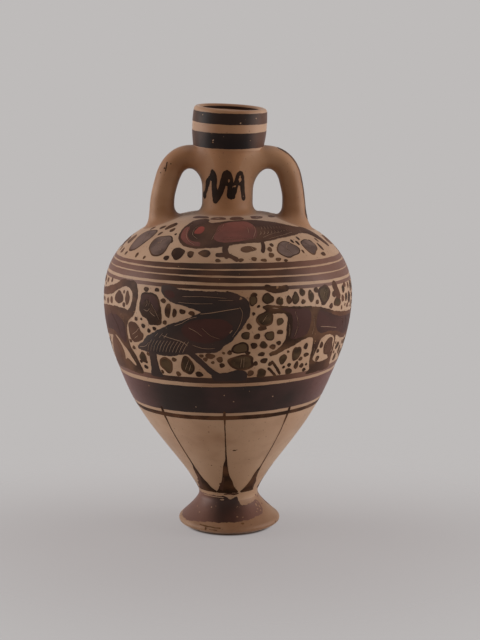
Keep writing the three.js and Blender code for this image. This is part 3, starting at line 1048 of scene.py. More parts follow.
def paint_band(name, sheet, degree, low, high, material, amount=0.06):
    """Each edge is its height in front, its rise to the right, and its droop at the sides."""
    columns = BAND_COLUMNS
    turn = np.arange(columns) * 2 * math.pi / columns
    angle = np.degrees(turn)
    middle = (low[0] + high[0]) / 2
    radius_here = np.hypot(*sheet(np.array([[0.0, middle]]))[0, :2])
    low_edge, high_edge = [height + rise * radius_here * np.sin(turn) - droop * np.sin(turn) ** 2
                           + wave_round(turn, amount) for height, rise, droop in (low, high)]
    rows = max(2, int((high[0] - low[0]) / 0.8) + 2)
    share = np.linspace(0, 1, rows)[:, None]
    heights = low_edge * (1 - share) + high_edge * share
    flat = np.column_stack([np.tile(angle * degree, rows), heights.ravel()])
    here, out = lay(sheet, flat)
    count = len(flat)
    loop = [k * columns for k in range(rows)] + [count + k * columns for k in reversed(range(rows))]
    faces = []
    for a, b in zip(loop, loop[1:] + loop[:1]):
        for i in range(columns):
            j = (i + 1) % columns
            faces.append((a + i, a + j, b + j, b + i))
    make_piece(name, np.vstack([here + out * SKIN_TOP, here + out * SKIN_UNDER]), faces, material,
               normals=np.vstack([out, -out]))


# %% [markdown]
# ## Bands
# The potter put the jar back on the wheel, held a full brush against it and let it turn. Such a
# band goes right round, and its edges waver a little. Narrow clay lines are left between them.

# %% Bands on the body, and the mouth
for name, low, high, slip in (
        ("shoulder_band_1", (91.65, -0.0054, 0.44), (93.3, 0.002, 1.05), band_slip),
        ("shoulder_band_2", (89.75, -0.0157, 0.72), (91.2, -0.0054, 0.44), band_slip),
        ("shoulder_band_3", (87.75, -0.021, 1.0), (89.3, -0.0157, 0.72), band_slip),
        ("frieze_top_band", (85.75, -0.021, 0.9), (86.85, -0.021, 1.0), band_slip),
        ("frieze_ground_line", (55.85, 0.009, 0), (57.7, 0.009, 0), band_slip),
        ("broad_band", (45.4, 0.015, 0), (54.6, 0.015, 0), broad_slip),
        ("thin_band", (42.9, 0.015, 0), (44.3, 0.015, 0), ray_slip)):
    paint_band(name, wall_sheet, WALL_DEGREE, low, high, slip)
for name, low, high, rise in (("mouth_upper_band", 8.2, 11.7, 0.018),
                              ("mouth_lower_band", 0.5, 5.5, 0.034)):
    paint_band(name, collar_sheet, COLLAR_DEGREE, (low, rise, 0), (high, rise, 0), mouth_slip,
               amount=0.05)

# %% A dark skin inside the mouth, and chips in the bands
# a dark skin laid over the inside of the mouth, below the lip
throat = np.vstack([lip[12:], collar_throat[1:-4]])
throat_skin = np.vstack([throat - (0.06, 0), (throat + (0.04, 0))[::-1]])
points, faces = spin(throat_skin, 128)
make_piece("mouth_inside", settle(on_collar(points)), faces, dark_throat)
CHIP_SIZE = 0.75
chips = blobs([
    (16.5, 8.9, 3.4, 0.5, 20), (-24.5, 3.0, 4.5, 0.35, 30), (-47, 10.6, 2, 0.4, 0),
    (44, 10.4, 2, 0.7, 60), (36, 3.4, 1.4, 0.3, 0), (-8, 4.4, 1.2, 0.25, 0), (100, 9.6, 4, 0.5, 10),
    (170, 2.6, 3, 0.5, 30)], COLLAR_DEGREE, size=CHIP_SIZE)
paint("mouth_chips", collar_sheet, chips, [], clay, **CHIPS)
chips = blobs([
    (-1, 51.7, 0.7, 0.5), (4, 49.5, 0.9, 0.35), (25.5, 50.6, 0.9, 0.5), (-17, 47.3, 1.0, 0.3),
    (12, 53, 0.5, 0.3), (118, 50, 1.4, 0.6), (196, 48.4, 1.2, 0.5), (-96, 51.4, 1.1, 0.5)],
              size=CHIP_SIZE)
paint("band_chips", wall_sheet, chips, [], clay, **CHIPS)

# %% [markdown]
# ## Rays and the foot
# Rays stand on the stem: each swells from a hairline to a broad base, and the bases meet. The foot
# is dipped in slip almost to its rim, and much of that has rubbed off on one side.

# %% Rays
ray_left = [(-0.38, 46), (-0.36, 40), (-0.4, 35), (-0.65, 30), (-1.2, 27), (-3.4, 25), (-5.4, 22),
            (-6.6, 20), (-9.0, 18), (-13.0, 16.2), (-18.0, 14.6), (-21.5, 13.9)]
ray_right = [(20.5, 13.9), (16.5, 14.8), (12.0, 16.0), (8.5, 18), (4.5, 20), (2.4, 22), (1.3, 25),
             (0.9, 27), (0.6, 30), (0.4, 35), (0.36, 40), (0.38, 46)]
ray_base = [(-21.5, 13.5), (-10, 13.35), (10, 13.4), (20.5, 13.5)]
RAY_FOOT, RAY_KNEE, RAY_TIP = 14, 27, 46
rays = []
# each ray's place, its lean, and the height to which its hairline swells
for middle, lean, knee in ((-180, 0, 26), (-134, -0.05, 24), (-89, 0, 25), (-43, 0.08, 23.4),
                           (-1, 0, 27), (42, -0.08, 23.2), (87, 0, 24), (133, 0.05, 26)):
    wide = 1 + 0.1 * math.sin(middle)
    rays.append(shape([(middle + a * wide + lean * (z - RAY_FOOT),
                        np.interp(z, (0, RAY_FOOT, RAY_KNEE, RAY_TIP),
                                  (0, RAY_FOOT, knee, RAY_TIP)))
                       for a, z in ray_left + ray_base + ray_right], RAY_DEGREE,
                      rough=0.02, step=0.3))
bare = [shape([(52, 17.6), (56, 17), (62, 15.6), (66, 14.4), (66, 13), (60, 13), (55, 13.4),
               (50.5, 14.2), (49.5, 15.6), (50, 17)], RAY_DEGREE, rough=0.12, step=0.3)]
thin = blobs([(-11, 16.8, 4, 1.3, 50), (-6.5, 19.2, 1.6, 1.4), (-52, 17.2, 4, 0.8, -40)],
             RAY_DEGREE)
paint("rays", ray_sheet, rays, bare + thin, ray_slip, top=FIGURE_TOP)
smudges = marks([
    (-12, 15.4, 6, 1.8, 30), (-56, 15.4, 9, 2.0, -10),
    ([(-51, 14.6), (-48.5, 16.4), (-46, 18.2), (-44.4, 19.6)], 1.1),
    ([(49, 14.4), (46, 16.2), (44, 17.6), (43, 18.8)], 1.0),
    ([(-9.5, 14.6), (-8, 16.8), (-5.6, 19.4)], 0.7)], RAY_DEGREE)
paint("rays_worn", ray_sheet, smudges + thin, [], brown_slip, top=RUBBED["top"])
stem_marks = marks([([(-8, 12.9, 0.3), (2, 13.1, 0.6), (12, 12.9, 0.7), (20, 13.1, 0.3)], 0.5),
                    (6, 31, 3, 0.5), (-17, 24.6, 1.6, 0.3)], RAY_DEGREE)
paint("stem_marks", ray_sheet, stem_marks, [], brown_slip)

# %% Foot
foot_front = shape(
    [(-176, 12.1), (-120, 12.1), (-60, 12.1), (-20, 12.15), (-4, 12.0), (2, 11.2), (9, 11.3),
     (14, 11.9), (18, 11.7), (20, 10.4), (22.5, 9.2), (30, 9.0), (38, 9.2), (46, 9.2), (54, 9.6),
     (61, 9.7), (65, 8.8), (64, 7.4), (60, 6.4), (50, 5.7), (38, 5.4), (25, 5.0), (10, 4.8),
     (0, 4.7), (-15, 4.6), (-28, 4.5), (-45, 4.0), (-60, 3.6), (-90, 4.0), (-130, 4.8), (-160, 5.1),
     (-176, 5.0)], FOOT_DEGREE, rough=0.1, step=0.35)
foot_back = shape([(96, 11.8), (120, 12.1), (150, 12.0), (179, 12.1), (180, 8), (179, 5.2),
                   (150, 4.8), (120, 5.3), (101, 5.6), (92, 7.2), (99, 9.1), (91, 10.6)],
                  FOOT_DEGREE, rough=0.1, step=0.35)
foot_remnants = blobs([(68, 10.9, 6, 0.6), (74, 10.2, 4, 0.5), (71, 7.9, 4, 0.5)], FOOT_DEGREE)
foot_gaps = [scratch([(-58, 11.72), (-30, 11.75), (-8, 11.6)], 0.3, FOOT_DEGREE)] + blobs([
    (-12, 10.9, 9, 0.4), (-30, 8.4, 2.5, 0.5), (12, 6.1, 3, 0.35), (-48, 6.4, 3, 0.4),
    (54, 8.3, 5, 0.9), (59, 7.6, 3.4, 0.9), (51, 7.2, 4, 0.4), (60.5, 8.9, 3, 0.5),
    (46, 6.6, 3, 0.3), (55, 6.6, 3.4, 0.5)], FOOT_DEGREE)
paint("foot_slip", foot_sheet, [foot_front, foot_back] + foot_remnants, foot_gaps, foot_slip,
      spacing=0.7)
foot_stains = marks([
    ([(-36, 3.6), (-28, 3.4), (-20, 3.3), (-10, 3.2)], 0.25), (-27, 2.7, 2.5, 0.9),
    (17, 4.3, 4, 0.5), ([(-22, 2.6), (-14, 2.5)], 0.2), (66, 2.6, 3, 0.5)], FOOT_DEGREE)
paint("foot_stains", foot_sheet, foot_stains, [], stain_slip)

# %% [markdown]
# ## Neck and shoulder
# A quick zigzag of a wet brush stands on the front of the neck. On the shoulder a bird lies between
# dabs of slip, with its feathers scratched in and purple-red laid on its breast.

# %% Zigzag on the neck
zigzag = marks([
    ([(-68, 111.2), (-60, 111.9), (-54, 113.5), (-50, 115.4)], 1.6), (-64, 110.9, 17, 2.0),
    ([(-51, 114.6), (-46, 116.6), (-39, 118.6), (-34, 118.8), (-30, 117), (-31, 114), (-30, 111.6),
      (-27, 109.8)], 2.0), (-37, 117.4, 16, 3.0), (-28.5, 112.6, 15, 3.4),
    ([(-27.5, 109.7), (-20, 111.4), (-13, 113.6), (-8, 116.5), (-2, 118.6), (3, 117.6), (6, 115)],
     2.15), (-1, 116.6, 15, 4.6),
    ([(5, 115.4), (6, 113), (9, 110.8), (14, 112), (18, 114), (21.5, 116.4), (26, 118.4),
      (31, 117.8), (34, 115.5), (36.5, 113), (40, 110.4)], 1.75), (8, 112.0, 21, 3.6),
    (12, 111.0, 12, 1.9), ([(8, 115.4), (16, 114.9), (24, 115.1), (32, 114.6)], 1.0),
    (23, 118.1, 7, 1.2)], NECK_DEGREE)
zigzag_gaps = blobs([(3, 116.1, 4, 1.0), (16, 114.3, 7, 0.5, 8), (28, 116.4, 7, 1.4)], NECK_DEGREE)
paint("neck_zigzag", neck_sheet, zigzag, zigzag_gaps, brushed_slip, spacing=0.6)


# %% Draw on the shoulder as seen from above
def on_plan(angle, r):
    turn = math.radians(angle)
    return r * math.sin(turn), -r * math.cos(turn)


def plan_shape(points, rough=0.08):
    return shape([on_plan(*p) for p in points], 1, rough)


def plan_blob(angle, r, wide, high):
    x, y = on_plan(angle, r)
    return blob(x, y, math.radians(wide) * r, high, 1, angle)


def plan_scratch(points, width=0.16):
    return scratch([on_plan(*p) for p in points], width, 1)


# %% Dashes below the neck
dashes = [plan_blob(*b) for b in ((-38, 13.4, 27, 2.7), (-11, 13.9, 20, 3.2), (13, 13.8, 20, 3.6),
                                  (43, 13.9, 21, 3.0), (70, 15.2, 13, 2.2), (118, 13.9, 20, 3.2),
                                  (146, 13.8, 20, 3.2), (176, 13.9, 20, 3.0), (206, 13.8, 20, 3.4),
                                  (236, 13.9, 20, 3.0))]
dash_gaps = [plan_blob(-12, 13.9, 8, 0.6), plan_blob(45, 13.8, 8, 0.5)]
paint("neck_dashes", shoulder_sheet, dashes, dash_gaps, brown_slip)

# %% Bird on the shoulder
bird_points = [
    (-37, 20), (-36.5, 22.5), (-34.5, 26), (-30.5, 29.2), (-25, 31), (-18, 31.6), (-10, 31.3),
    (-4, 31.0), (4, 30.1), (12, 29.6), (20, 29.5), (28, 29), (35, 28.4), (45, 28), (54, 27.6),
    (60, 27.4), (66, 28.6), (70, 31), (73, 33.6), (76, 33.4), (76, 30), (75, 27), (72, 25.2),
    (66, 24.3), (60, 22.8), (52, 20), (45, 18.3), (38, 17), (30, 16), (20, 15.8), (10, 16),
    (0, 16.6), (-8, 17.6), (-15, 18.4), (-19, 17.4), (-20, 16), (-22, 15.2), (-28, 15), (-34, 15.8),
    (-37, 17.6)]
bird_scratches = [
    [(-33, 19.5), (-32, 22.5), (-29, 26), (-24, 29), (-19, 30.4)],
    [(-24, 20), (-26, 22.5), (-24, 26), (-19, 28)],
    [(-7, 18.4), (-3, 19.6), (-5, 22.5), (-8, 25), (-9.5, 28.2)],
    [(-4, 28.4), (8, 27.9), (20, 27.6)], [(-2, 27.2), (8, 26.9)],
    [(22, 17.8), (24, 20.5), (22, 24), (18, 27.2)], [(14, 20), (17, 22), (16, 25)],
    [(-21, 15.9), (-27, 15.8), (-32, 16.8)], [(24, 27.6), (32, 26.2), (42, 25.6)],
    [(28, 28.2), (40, 27.2), (52, 26.4)], [(56, 23.5), (63, 25.4), (70, 28)],
    [(58, 25.4), (64, 27.4), (70, 30.6)], [(61, 26.4), (66, 28.6)]]
bird_scratches += [[(a, 26.6 - (a - 20) * 0.06), (a + 2.4, 25.2), (a + 3, 24)]
                   for a in range(23, 56, 3)]
bird_scratches += [[(a, 23.4), (a + 1.4, 22.4), (a + 1.6, 21.2)] for a in range(28, 54, 3)]
breast_points = [(-6, 20), (2, 17.8), (12, 17.2), (20, 17.4), (24, 20), (23, 24), (19, 27.4),
                 (8, 28.8), (-2, 29.2), (-8, 28), (-8, 24)]
collar_points = [(-34, 22), (-31, 22.4), (-28, 26), (-23, 28.8), (-16, 29.6), (-16, 30.8),
                 (-24, 30.2), (-30, 28.2), (-33.6, 25)]


def shoulder_bird(name, turn, slip):
    """The lying bird, turned round the jar by some degrees."""
    def moved(points):
        return [(a + turn, r) for a, r in points]

    cuts = [plan_scratch(moved(p), 0.13) for p in bird_scratches]
    legs = [brush([on_plan(*p) for p in moved(line)], width, 1) for line, width in (
        ([(0, 30), (-1, 31.6), (0, 33.6)], 1.8), ([(-5, 33.4), (1, 33.6), (5, 34.6)], 1.2),
        ([(22, 29.2), (21.5, 31), (20, 32.6)], 1.2))]
    paint(name, shoulder_sheet, [plan_shape(moved(bird_points))] + legs, cuts, slip,
          top=FIGURE_TOP)
    reds = [plan_shape(moved(breast_points), 0.06), plan_shape(moved(collar_points), 0.05)]
    paint(name + "_red", shoulder_sheet, reds, cuts, red_slip, **RED)
    paint(name + "_roundel", shoulder_sheet, [plan_blob(-20.8 + turn, 23.6, 7.4, 4.2)], cuts,
          bright_red, **RED)


shoulder_bird("shoulder_bird", 0, bird_slip)
shoulder_bird("back_shoulder_bird", 180, bird_slip)

# %% Dabs round the shoulder
shoulder_dabs = [
    (-62.5, 30, 16.5, 8.2), (-42, 31, 15, 7.4), (-27, 33.3, 7.5, 3.4), (-19.5, 33.4, 3.6, 1.9),
    (-11.8, 33.0, 6.6, 2.0), (-44, 24.6, 4, 2.2), (-58, 24, 4, 2.4), (-51, 22.5, 6, 5.0),
    (-51, 27, 2.6, 1.8), (-54, 35, 2, 1.2), (-32.5, 34.8, 3, 1.3), (-47, 35.3, 1.6, 0.8),
    (-74, 35, 3, 1.4), (-37, 26.5, 1.6, 1.0), (12, 31.7, 9, 2.0), (36, 32.3, 14, 5.2),
    (53.5, 32.3, 11.5, 4.8), (27, 30.7, 2.2, 1.4), (24.5, 32.1, 2.6, 1.6), (24, 33.8, 3, 1.4),
    (27, 35, 3, 0.9), (50, 29.2, 2, 1.5), (43, 30, 2, 1.4), (46, 30.8, 2, 1.6),
    (58.5, 31.2, 2, 1.6), (63, 33.2, 2.4, 2.2), (60, 35.1, 4, 1.0), (14, 34.6, 3, 1.0),
    (7, 34.8, 3, 0.9), (19, 35.0, 3, 0.8), (45, 33.6, 1.4, 1.0), (66.5, 31, 1.8, 1.5),
    (-68.5, 25.5, 3, 2), (-4.5, 34.9, 2.6, 0.9), (31, 35.4, 2, 0.7), (-66, 35.2, 2, 1.0),
    (-35, 29.8, 1.2, 1.3), (-77, 31.5, 7, 3.2), (-86, 33, 7, 3.6), (-95, 32.4, 7, 3.4),
    (-90.5, 35.4, 2.4, 1.2), (-80, 34.8, 2, 1.2)]
dab_scratches = [
    [(33, 31), (36, 33.4)], [(38, 30.6), (35.5, 32.4), (37, 34.4)], [(-44, 29), (-41, 32.6)],
    [(-40, 28.6), (-45, 32)], [(-63, 27.4), (-59, 31.6)], [(52, 31), (55, 33.6)],
    [(14, 31.2), (15.5, 32.4)]]
dabs, cuts = [], []
for turn in (0, 180):
    dabs += [plan_blob(a + turn, r, wide + 0.2, high) for a, r, wide, high in shoulder_dabs]
    cuts += [plan_scratch([(a + turn, r) for a, r in line], 0.13) for line in dab_scratches]
paint("shoulder_dabs", shoulder_sheet, dabs, cuts, worn_slip, top=DAB_TOP)


def rubbed_middles(dabs, least, share=0.76):
    """The middles of the larger dabs, where handling has rubbed the slip thin."""
    middles = [dab.mean(axis=0) for dab in dabs]
    return [middle + (dab - middle) * share for dab, middle in zip(dabs, middles)
            if np.ptp(dab, axis=0).min() > least]


paint("shoulder_dabs_rubbed", shoulder_sheet, rubbed_middles(dabs, least=4.2, share=0.9), cuts,
      rubbed_slip, **RUBBED)

# %% [markdown]
# ## The animal frieze
# Animals walk round the belly, painted as dark shapes and then scratched with a point. The space
# between them is filled with dabs, as such jars have it. Each animal is drawn by its outline in
# degrees from the front and millimetres of height.

# %% The hunting cat on the left, its tail over its back
cat = shape(
    [(-51, 77.4), (-60, 77.6), (-66, 77.2), (-71, 76.9), (-77.5, 76.3), (-85, 75.4), (-92, 75.4),
     (-99, 76.6), (-105, 78.4), (-109, 80.6), (-110, 83.2), (-111.5, 84.6), (-113.5, 83.4),
     (-116, 83), (-118.5, 83.4), (-120.6, 84.6), (-121.6, 82.6), (-121, 79.4), (-119.4, 76),
     (-116.4, 74.4), (-114, 73.6), (-115, 69), (-114.8, 65), (-115.6, 61.4), (-118.6, 59.2),
     (-119, 57.2), (-112, 57), (-111.6, 60), (-110, 64), (-108, 66.4), (-105.6, 64), (-106.8, 60),
     (-109, 58.8), (-109, 57.2), (-102.6, 57), (-102.4, 60), (-100.6, 65), (-96, 66.6), (-85, 66.2),
     (-75, 66.8), (-67.5, 67.2), (-70, 65.3), (-73, 62.6), (-76, 59.6), (-77.4, 57.2), (-60, 56.9),
     (-45.6, 57), (-45.8, 59), (-46.9, 61.2), (-48.2, 63), (-50.2, 65), (-51.2, 67), (-51.4, 70),
     (-51, 72.4), (-49.4, 74), (-46.6, 75.8), (-47.6, 77)])
cat_tail = shape(
    [(-46.8, 75.4), (-45.1, 77), (-44.1, 79.5), (-43.5, 82), (-44.1, 84.3), (-46, 86.2),
     (-52, 86.5), (-57.5, 86.2), (-60.5, 84.9), (-67, 83.6), (-74, 82.4), (-82, 81.6), (-90, 81.4),
     (-96, 82.4), (-98, 81.2), (-94, 79.6), (-85, 79.2), (-75, 79.8), (-64.4, 81.2), (-57.5, 83.4),
     (-51.4, 84.5), (-48, 83.4), (-46.9, 81.8), (-47.2, 80), (-48.4, 78.4), (-50.2, 76.6)])
cat_scratches = [
    [(-66, 75.4), (-60, 72), (-57.5, 68.5)], [(-72, 75.4), (-70, 72), (-72, 69)],
    [(-54, 75.4), (-53.4, 71), (-53.8, 67)], [(-96, 75), (-98, 71), (-102, 68.2)],
    [(-113, 81.6), (-115.6, 80.4), (-118.4, 81.6)], [(-115.4, 80), (-115.6, 76.6)],
    [(-86, 74), (-86.5, 71), (-86, 68)], [(-89, 74), (-89.5, 71), (-89, 68)],
    [(-92, 74), (-92.5, 71), (-92, 68)], [(-106, 73.6), (-108.6, 70), (-108, 66.8)],
    [(-63.8, 65.6), (-62, 62), (-63, 59)], [(-50.4, 63), (-48.6, 60)]]
cat_belly_gap = shape(
    [(-64.2, 67.9), (-61, 67.5), (-57.8, 65.8), (-54.4, 64.2), (-51.8, 62), (-49.6, 59.7),
     (-50.2, 59.1), (-53.4, 60.1), (-56, 61), (-58.4, 60.4), (-57.8, 62.4), (-58.6, 64.4),
     (-61.4, 66.4)], rough=0.05)
cat_gaps = [cat_belly_gap] + [scratch(line) for line in cat_scratches]
cat_dabs = blobs([
    (-57.5, 80.6, 6.6, 3.9), (-50.6, 81, 2.9, 3.8), (-65.3, 79, 2.6, 1.9), (-70.3, 78.3, 2.8, 1.7),
    (-53, 78.7, 1.8, 1.2), (-78, 78.1, 4, 1.2), (-67.5, 85.1, 1.8, 1.1), (-74, 84.6, 2.6, 1.3),
    (-81, 84.4, 4, 1.8), (-88, 84, 3, 2.2), (-55.8, 63.5, 1.7, 1.0), (-55.2, 61.9, 1.4, 0.9),
    (-52.2, 61.8, 1.5, 1.0), (-82, 62.4, 7, 4.4), (-88.5, 64.2, 3, 2.2), (-93.5, 61.2, 6, 5.0),
    (-98.4, 62.6, 2.4, 3.2), (-87.4, 59.6, 3, 2.4), (-77.8, 64.6, 2.2, 1.2), (-103, 83.8, 5, 2.6),
    (-99, 79, 2.6, 1.4), (-105.6, 81.4, 2, 1.6), (-109.4, 61.4, 1.4, 2.2)], wider=0.5, higher=0.3)
paint("frieze_cat", wall_sheet, [cat, cat_tail] + cat_dabs, cat_gaps, worn_slip, top=FIGURE_TOP)
cat_flank = shape([(-53, 72.5), (-57, 74.5), (-66, 74.6), (-74, 73), (-80, 73.4), (-84, 72),
                   (-80, 69.4), (-72, 69), (-66, 69.4), (-60, 68.4), (-54.4, 66.4), (-52.4, 68.6)])
paint("frieze_cat_red", wall_sheet, [cat_flank], cat_gaps, dull_red, **RED)

# %% The bird with spread wings in the middle
bird = shape(
    [(-30.6, 86.1), (-30.2, 84.4), (-28.4, 82.9), (-26, 81.8), (-23, 81.1), (-17.5, 80.3),
     (-13.5, 79.4), (-11.4, 78.7), (-14.4, 77.8), (-18.4, 76.4), (-24.6, 74.9), (-30, 73.1),
     (-34, 71.6), (-38.2, 70), (-41.4, 67.9), (-44.4, 66.5), (-45, 65.4), (-41, 64.9), (-36, 64.7),
     (-30, 64.1), (-26, 64.3), (-21, 65.0), (-16, 65.5), (-11, 66.0), (-6.5, 66.0), (-3.2, 66.8),
     (-0.6, 68.6), (2.2, 69.9), (5, 72.5), (7.6, 75), (9.6, 77.6), (10.1, 80), (9.1, 82.4), (6, 84),
     (2.6, 84.9), (-4, 85.2), (-14, 85.3), (-21.5, 85.5), (-24.6, 86.3)])
bird_parts = [
    shape([(-38.2, 65.4), (-38.4, 62), (-39.2, 59), (-40, 57), (-32.6, 57), (-33.6, 59),
           (-34.2, 62), (-34.4, 65.2)]),
    brush([(-17, 66), (-14.6, 64.6), (-11, 62.4), (-7.4, 60), (-3, 58.2)], 1.9),
    shape([(-7, 58.8), (-2, 59.4), (1.4, 59.8), (5.6, 60.4), (9.4, 59.7), (9.8, 57.2), (3, 56.9),
           (-6, 57)])]
bird_lines = [scratch(p, w) for p, w in (
    ([(-11.8, 78.3), (-8, 78.6), (-3.2, 79.2), (1, 79.7), (5.6, 80.2)], 0.2),
    ([(5.4, 80.6), (6.6, 79), (6.2, 76.4), (4.8, 73.8), (2.4, 71.2)], 0.15),
    ([(-30, 70.8), (-24, 69.9), (-20, 69.2), (-17.4, 68)], 0.18),
    ([(-17, 73.9), (-13.6, 72.8), (-10.8, 71.3)], 0.17),
    ([(-23.6, 74.2), (-20, 75.2), (-16.6, 76.6), (-13, 77.4)], 0.15),
    ([(1.2, 72.4), (2.4, 73.4)], 0.3), ([(-11, 74), (-7, 71.6), (-3, 70.6)], 0.13),
    ([(-20, 83.4), (-10, 83.6), (0, 83.2)], 0.12), ([(-22, 81.6), (-14, 81.4), (-6, 81.6)], 0.12),
    ([(-4, 82.6), (3, 82.6)], 0.12), ([(-44, 66), (-40, 66.6), (-37.6, 68)], 0.14),
    ([(-15.5, 68.4), (-10, 67.4), (-5, 67.6)], 0.14))]
feathers = [scratch([(a, 65.3 + 0.03 * (a + 30)), (a + 1.2, 67.2),
                     (a + 3.4, 69.3 + 0.02 * (a + 30))], 0.15)
            for a in np.arange(-39, -19.5, 1.7)]
feathers += [scratch([(a, 69.9), (a + 2.2, 71.6)], 0.13) for a in np.arange(-34, -27, 2.4)]
bird_gaps = bird_lines + feathers
paint("frieze_bird", wall_sheet, [bird] + bird_parts, bird_gaps, dark_slip, top=FIGURE_TOP)
bird_breast = shape([(-16, 76), (-8, 76.9), (-1.4, 76.6), (2.4, 74.6), (0.6, 71.8), (-4, 69.9),
                     (-10, 69.2), (-16, 70), (-19.6, 71.8), (-19.8, 74)])
bird_shoulder = shape([(-29, 84.8), (-25, 84.9), (-23.4, 83.4), (-26, 82.6), (-28.4, 83.4)],
                      rough=0.04)
paint("frieze_bird_red", wall_sheet, [bird_breast, bird_shoulder], bird_gaps, dull_red, **RED)

# %% The grazing goat, once on the right and once, turned, at the back
goat_points = [
    (15.5, 80.4), (18, 80.9), (21, 80.7), (24, 80.4), (30, 79.9), (40, 79.3), (45.6, 78.6),
    (50, 77.8), (57, 76.3), (64, 75.5), (72, 74.8), (80, 74.4), (88, 74.6), (93.6, 73.6),
    (96.6, 71), (97.4, 67), (96.6, 63), (97.6, 59.4), (98.6, 57.2), (92, 57), (91.6, 60),
    (90.6, 64), (88.6, 66), (86.2, 63.4), (85.4, 60), (86.6, 57.2), (80, 57), (79.4, 60.4),
    (79.8, 64), (78.6, 66.2), (74, 66), (68, 66.4), (63, 67.6), (60.4, 68), (61, 66.4), (61.4, 64),
    (61.6, 61), (62.4, 59), (63, 57.2), (52, 56.9), (43, 57), (44.6, 58.4), (43.6, 60.2),
    (43.0, 63), (43.0, 66.4), (42.6, 68.6), (40.4, 69.4), (38, 69.2), (34, 68.1), (29.6, 66.8),
    (26.4, 66), (23, 64.9), (20.4, 64.6), (19.7, 65.5), (22.4, 66.4), (25.2, 67.8), (26.7, 69.4),
    (27.2, 71.2), (27.2, 74), (27.2, 76.8), (25.8, 77.9), (22.6, 78), (19.2, 78.3), (17.2, 79)]
goat_window = [
    (45.4, 63), (46.8, 65.6), (48.2, 68), (51, 69), (56, 68.7), (59.6, 67.2), (60.2, 64.4),
    (59.4, 61.6), (57.2, 60.6), (53.6, 60.3), (50, 60.4), (46.6, 60.9), (45.2, 61.8)]
goat_scratches = [
    [(28.4, 74.6), (28.8, 72.4), (28.6, 70.4)], [(46.5, 72.3), (52, 71.7), (60, 70.6)],
    [(41.6, 76.4), (42.4, 72.4), (41.4, 69.9)], [(31, 78.4), (33, 74), (31.4, 70)],
    [(20, 79.9), (23, 79.6)], [(64, 73.6), (67, 71), (66.4, 68)],
    [(69, 73.4), (71.6, 71), (71, 68)], [(84, 73.4), (81, 70), (82.4, 67)],
    [(88.6, 73), (91.4, 69), (90.6, 65)], [(44.6, 66), (45, 62)]]
goat_reds = [
    [(45, 77.4), (52, 76.2), (60, 74.4), (70, 73.6), (80, 73), (86, 71), (80, 68), (70, 67.6),
     (62, 69.2), (54, 70.2), (46, 70.4), (43.6, 73)],
    [(24, 79.6), (32, 79), (39, 78.4), (40, 74), (38.4, 70.8), (33, 69.6), (29.6, 70), (30, 74),
     (29, 77.6)]]


def draw_goat(name, way, shift):
    """The goat with its angles multiplied by way and moved by shift; returns its edges."""
    def moved(points):
        return [(a * way + shift, z) for a, z in points]

    goat = shape(moved(goat_points))
    window = shape(moved(goat_window), rough=0.07)
    cuts = [window] + [scratch(moved(line)) for line in goat_scratches]
    paint(name, wall_sheet, [goat], cuts, worn_slip, top=FIGURE_TOP)
    paint(name + "_red", wall_sheet, [shape(moved(p)) for p in goat_reds], cuts, dull_red, **RED)
    return [goat, window]


goat_edges = draw_goat("frieze_goat", 1, 0) + draw_goat("back_frieze_goat", -1, 249.6)

# %% A swan at the back
swan = shape(
    [(148, 73), (144, 75.2), (138, 76.2), (131, 76), (126, 74.6), (122.5, 73.4), (120, 75),
     (118.4, 78), (116.6, 81), (113.6, 83.2), (109.8, 83.8), (106.6, 82.4), (104.6, 80.4),
     (102.6, 78.6), (106, 79), (108.6, 80), (111, 80), (112.6, 78.4), (113.4, 75.6), (113.6, 72),
     (115, 69), (118, 66.6), (123, 65.2), (130, 64.9), (137, 66.2), (142, 68.4), (147, 70.2)])
swan_legs = [brush(p, 1.3) for p in (
    [(126, 65.6), (125.4, 62), (124.6, 59), (124.8, 57.4)],
    [(132, 65.6), (132.4, 62), (131.6, 59), (132, 57.4)], [(120, 57.8), (126, 57.8)],
    [(127.6, 57.8), (134, 57.8)])]
swan_cuts = [scratch(p) for p in (
    [(120, 72.6), (127, 74), (135, 73.4), (143, 72.4)],
    [(119, 70), (124, 67.6), (132, 67), (140, 69)], [(112.6, 75.4), (115.8, 76.4)],
    [(108, 81.8), (109.4, 82.2)], [(145, 71.4), (141, 70.6)])]
swan_cuts += [scratch([(a, 68.6), (a + 1.6, 70.4), (a + 2.2, 72.2)], 0.14)
              for a in range(129, 142, 2)]
paint("back_frieze_swan", wall_sheet, [swan] + swan_legs, swan_cuts, dark_slip, top=FIGURE_TOP)
swan_wing = shape([(120, 71.8), (124, 73), (128, 72.8), (128.4, 69.6), (125, 68.4), (121, 69.4)],
                  rough=0.05)
paint("back_frieze_swan_red", wall_sheet, [swan_wing], swan_cuts, dull_red, **RED)

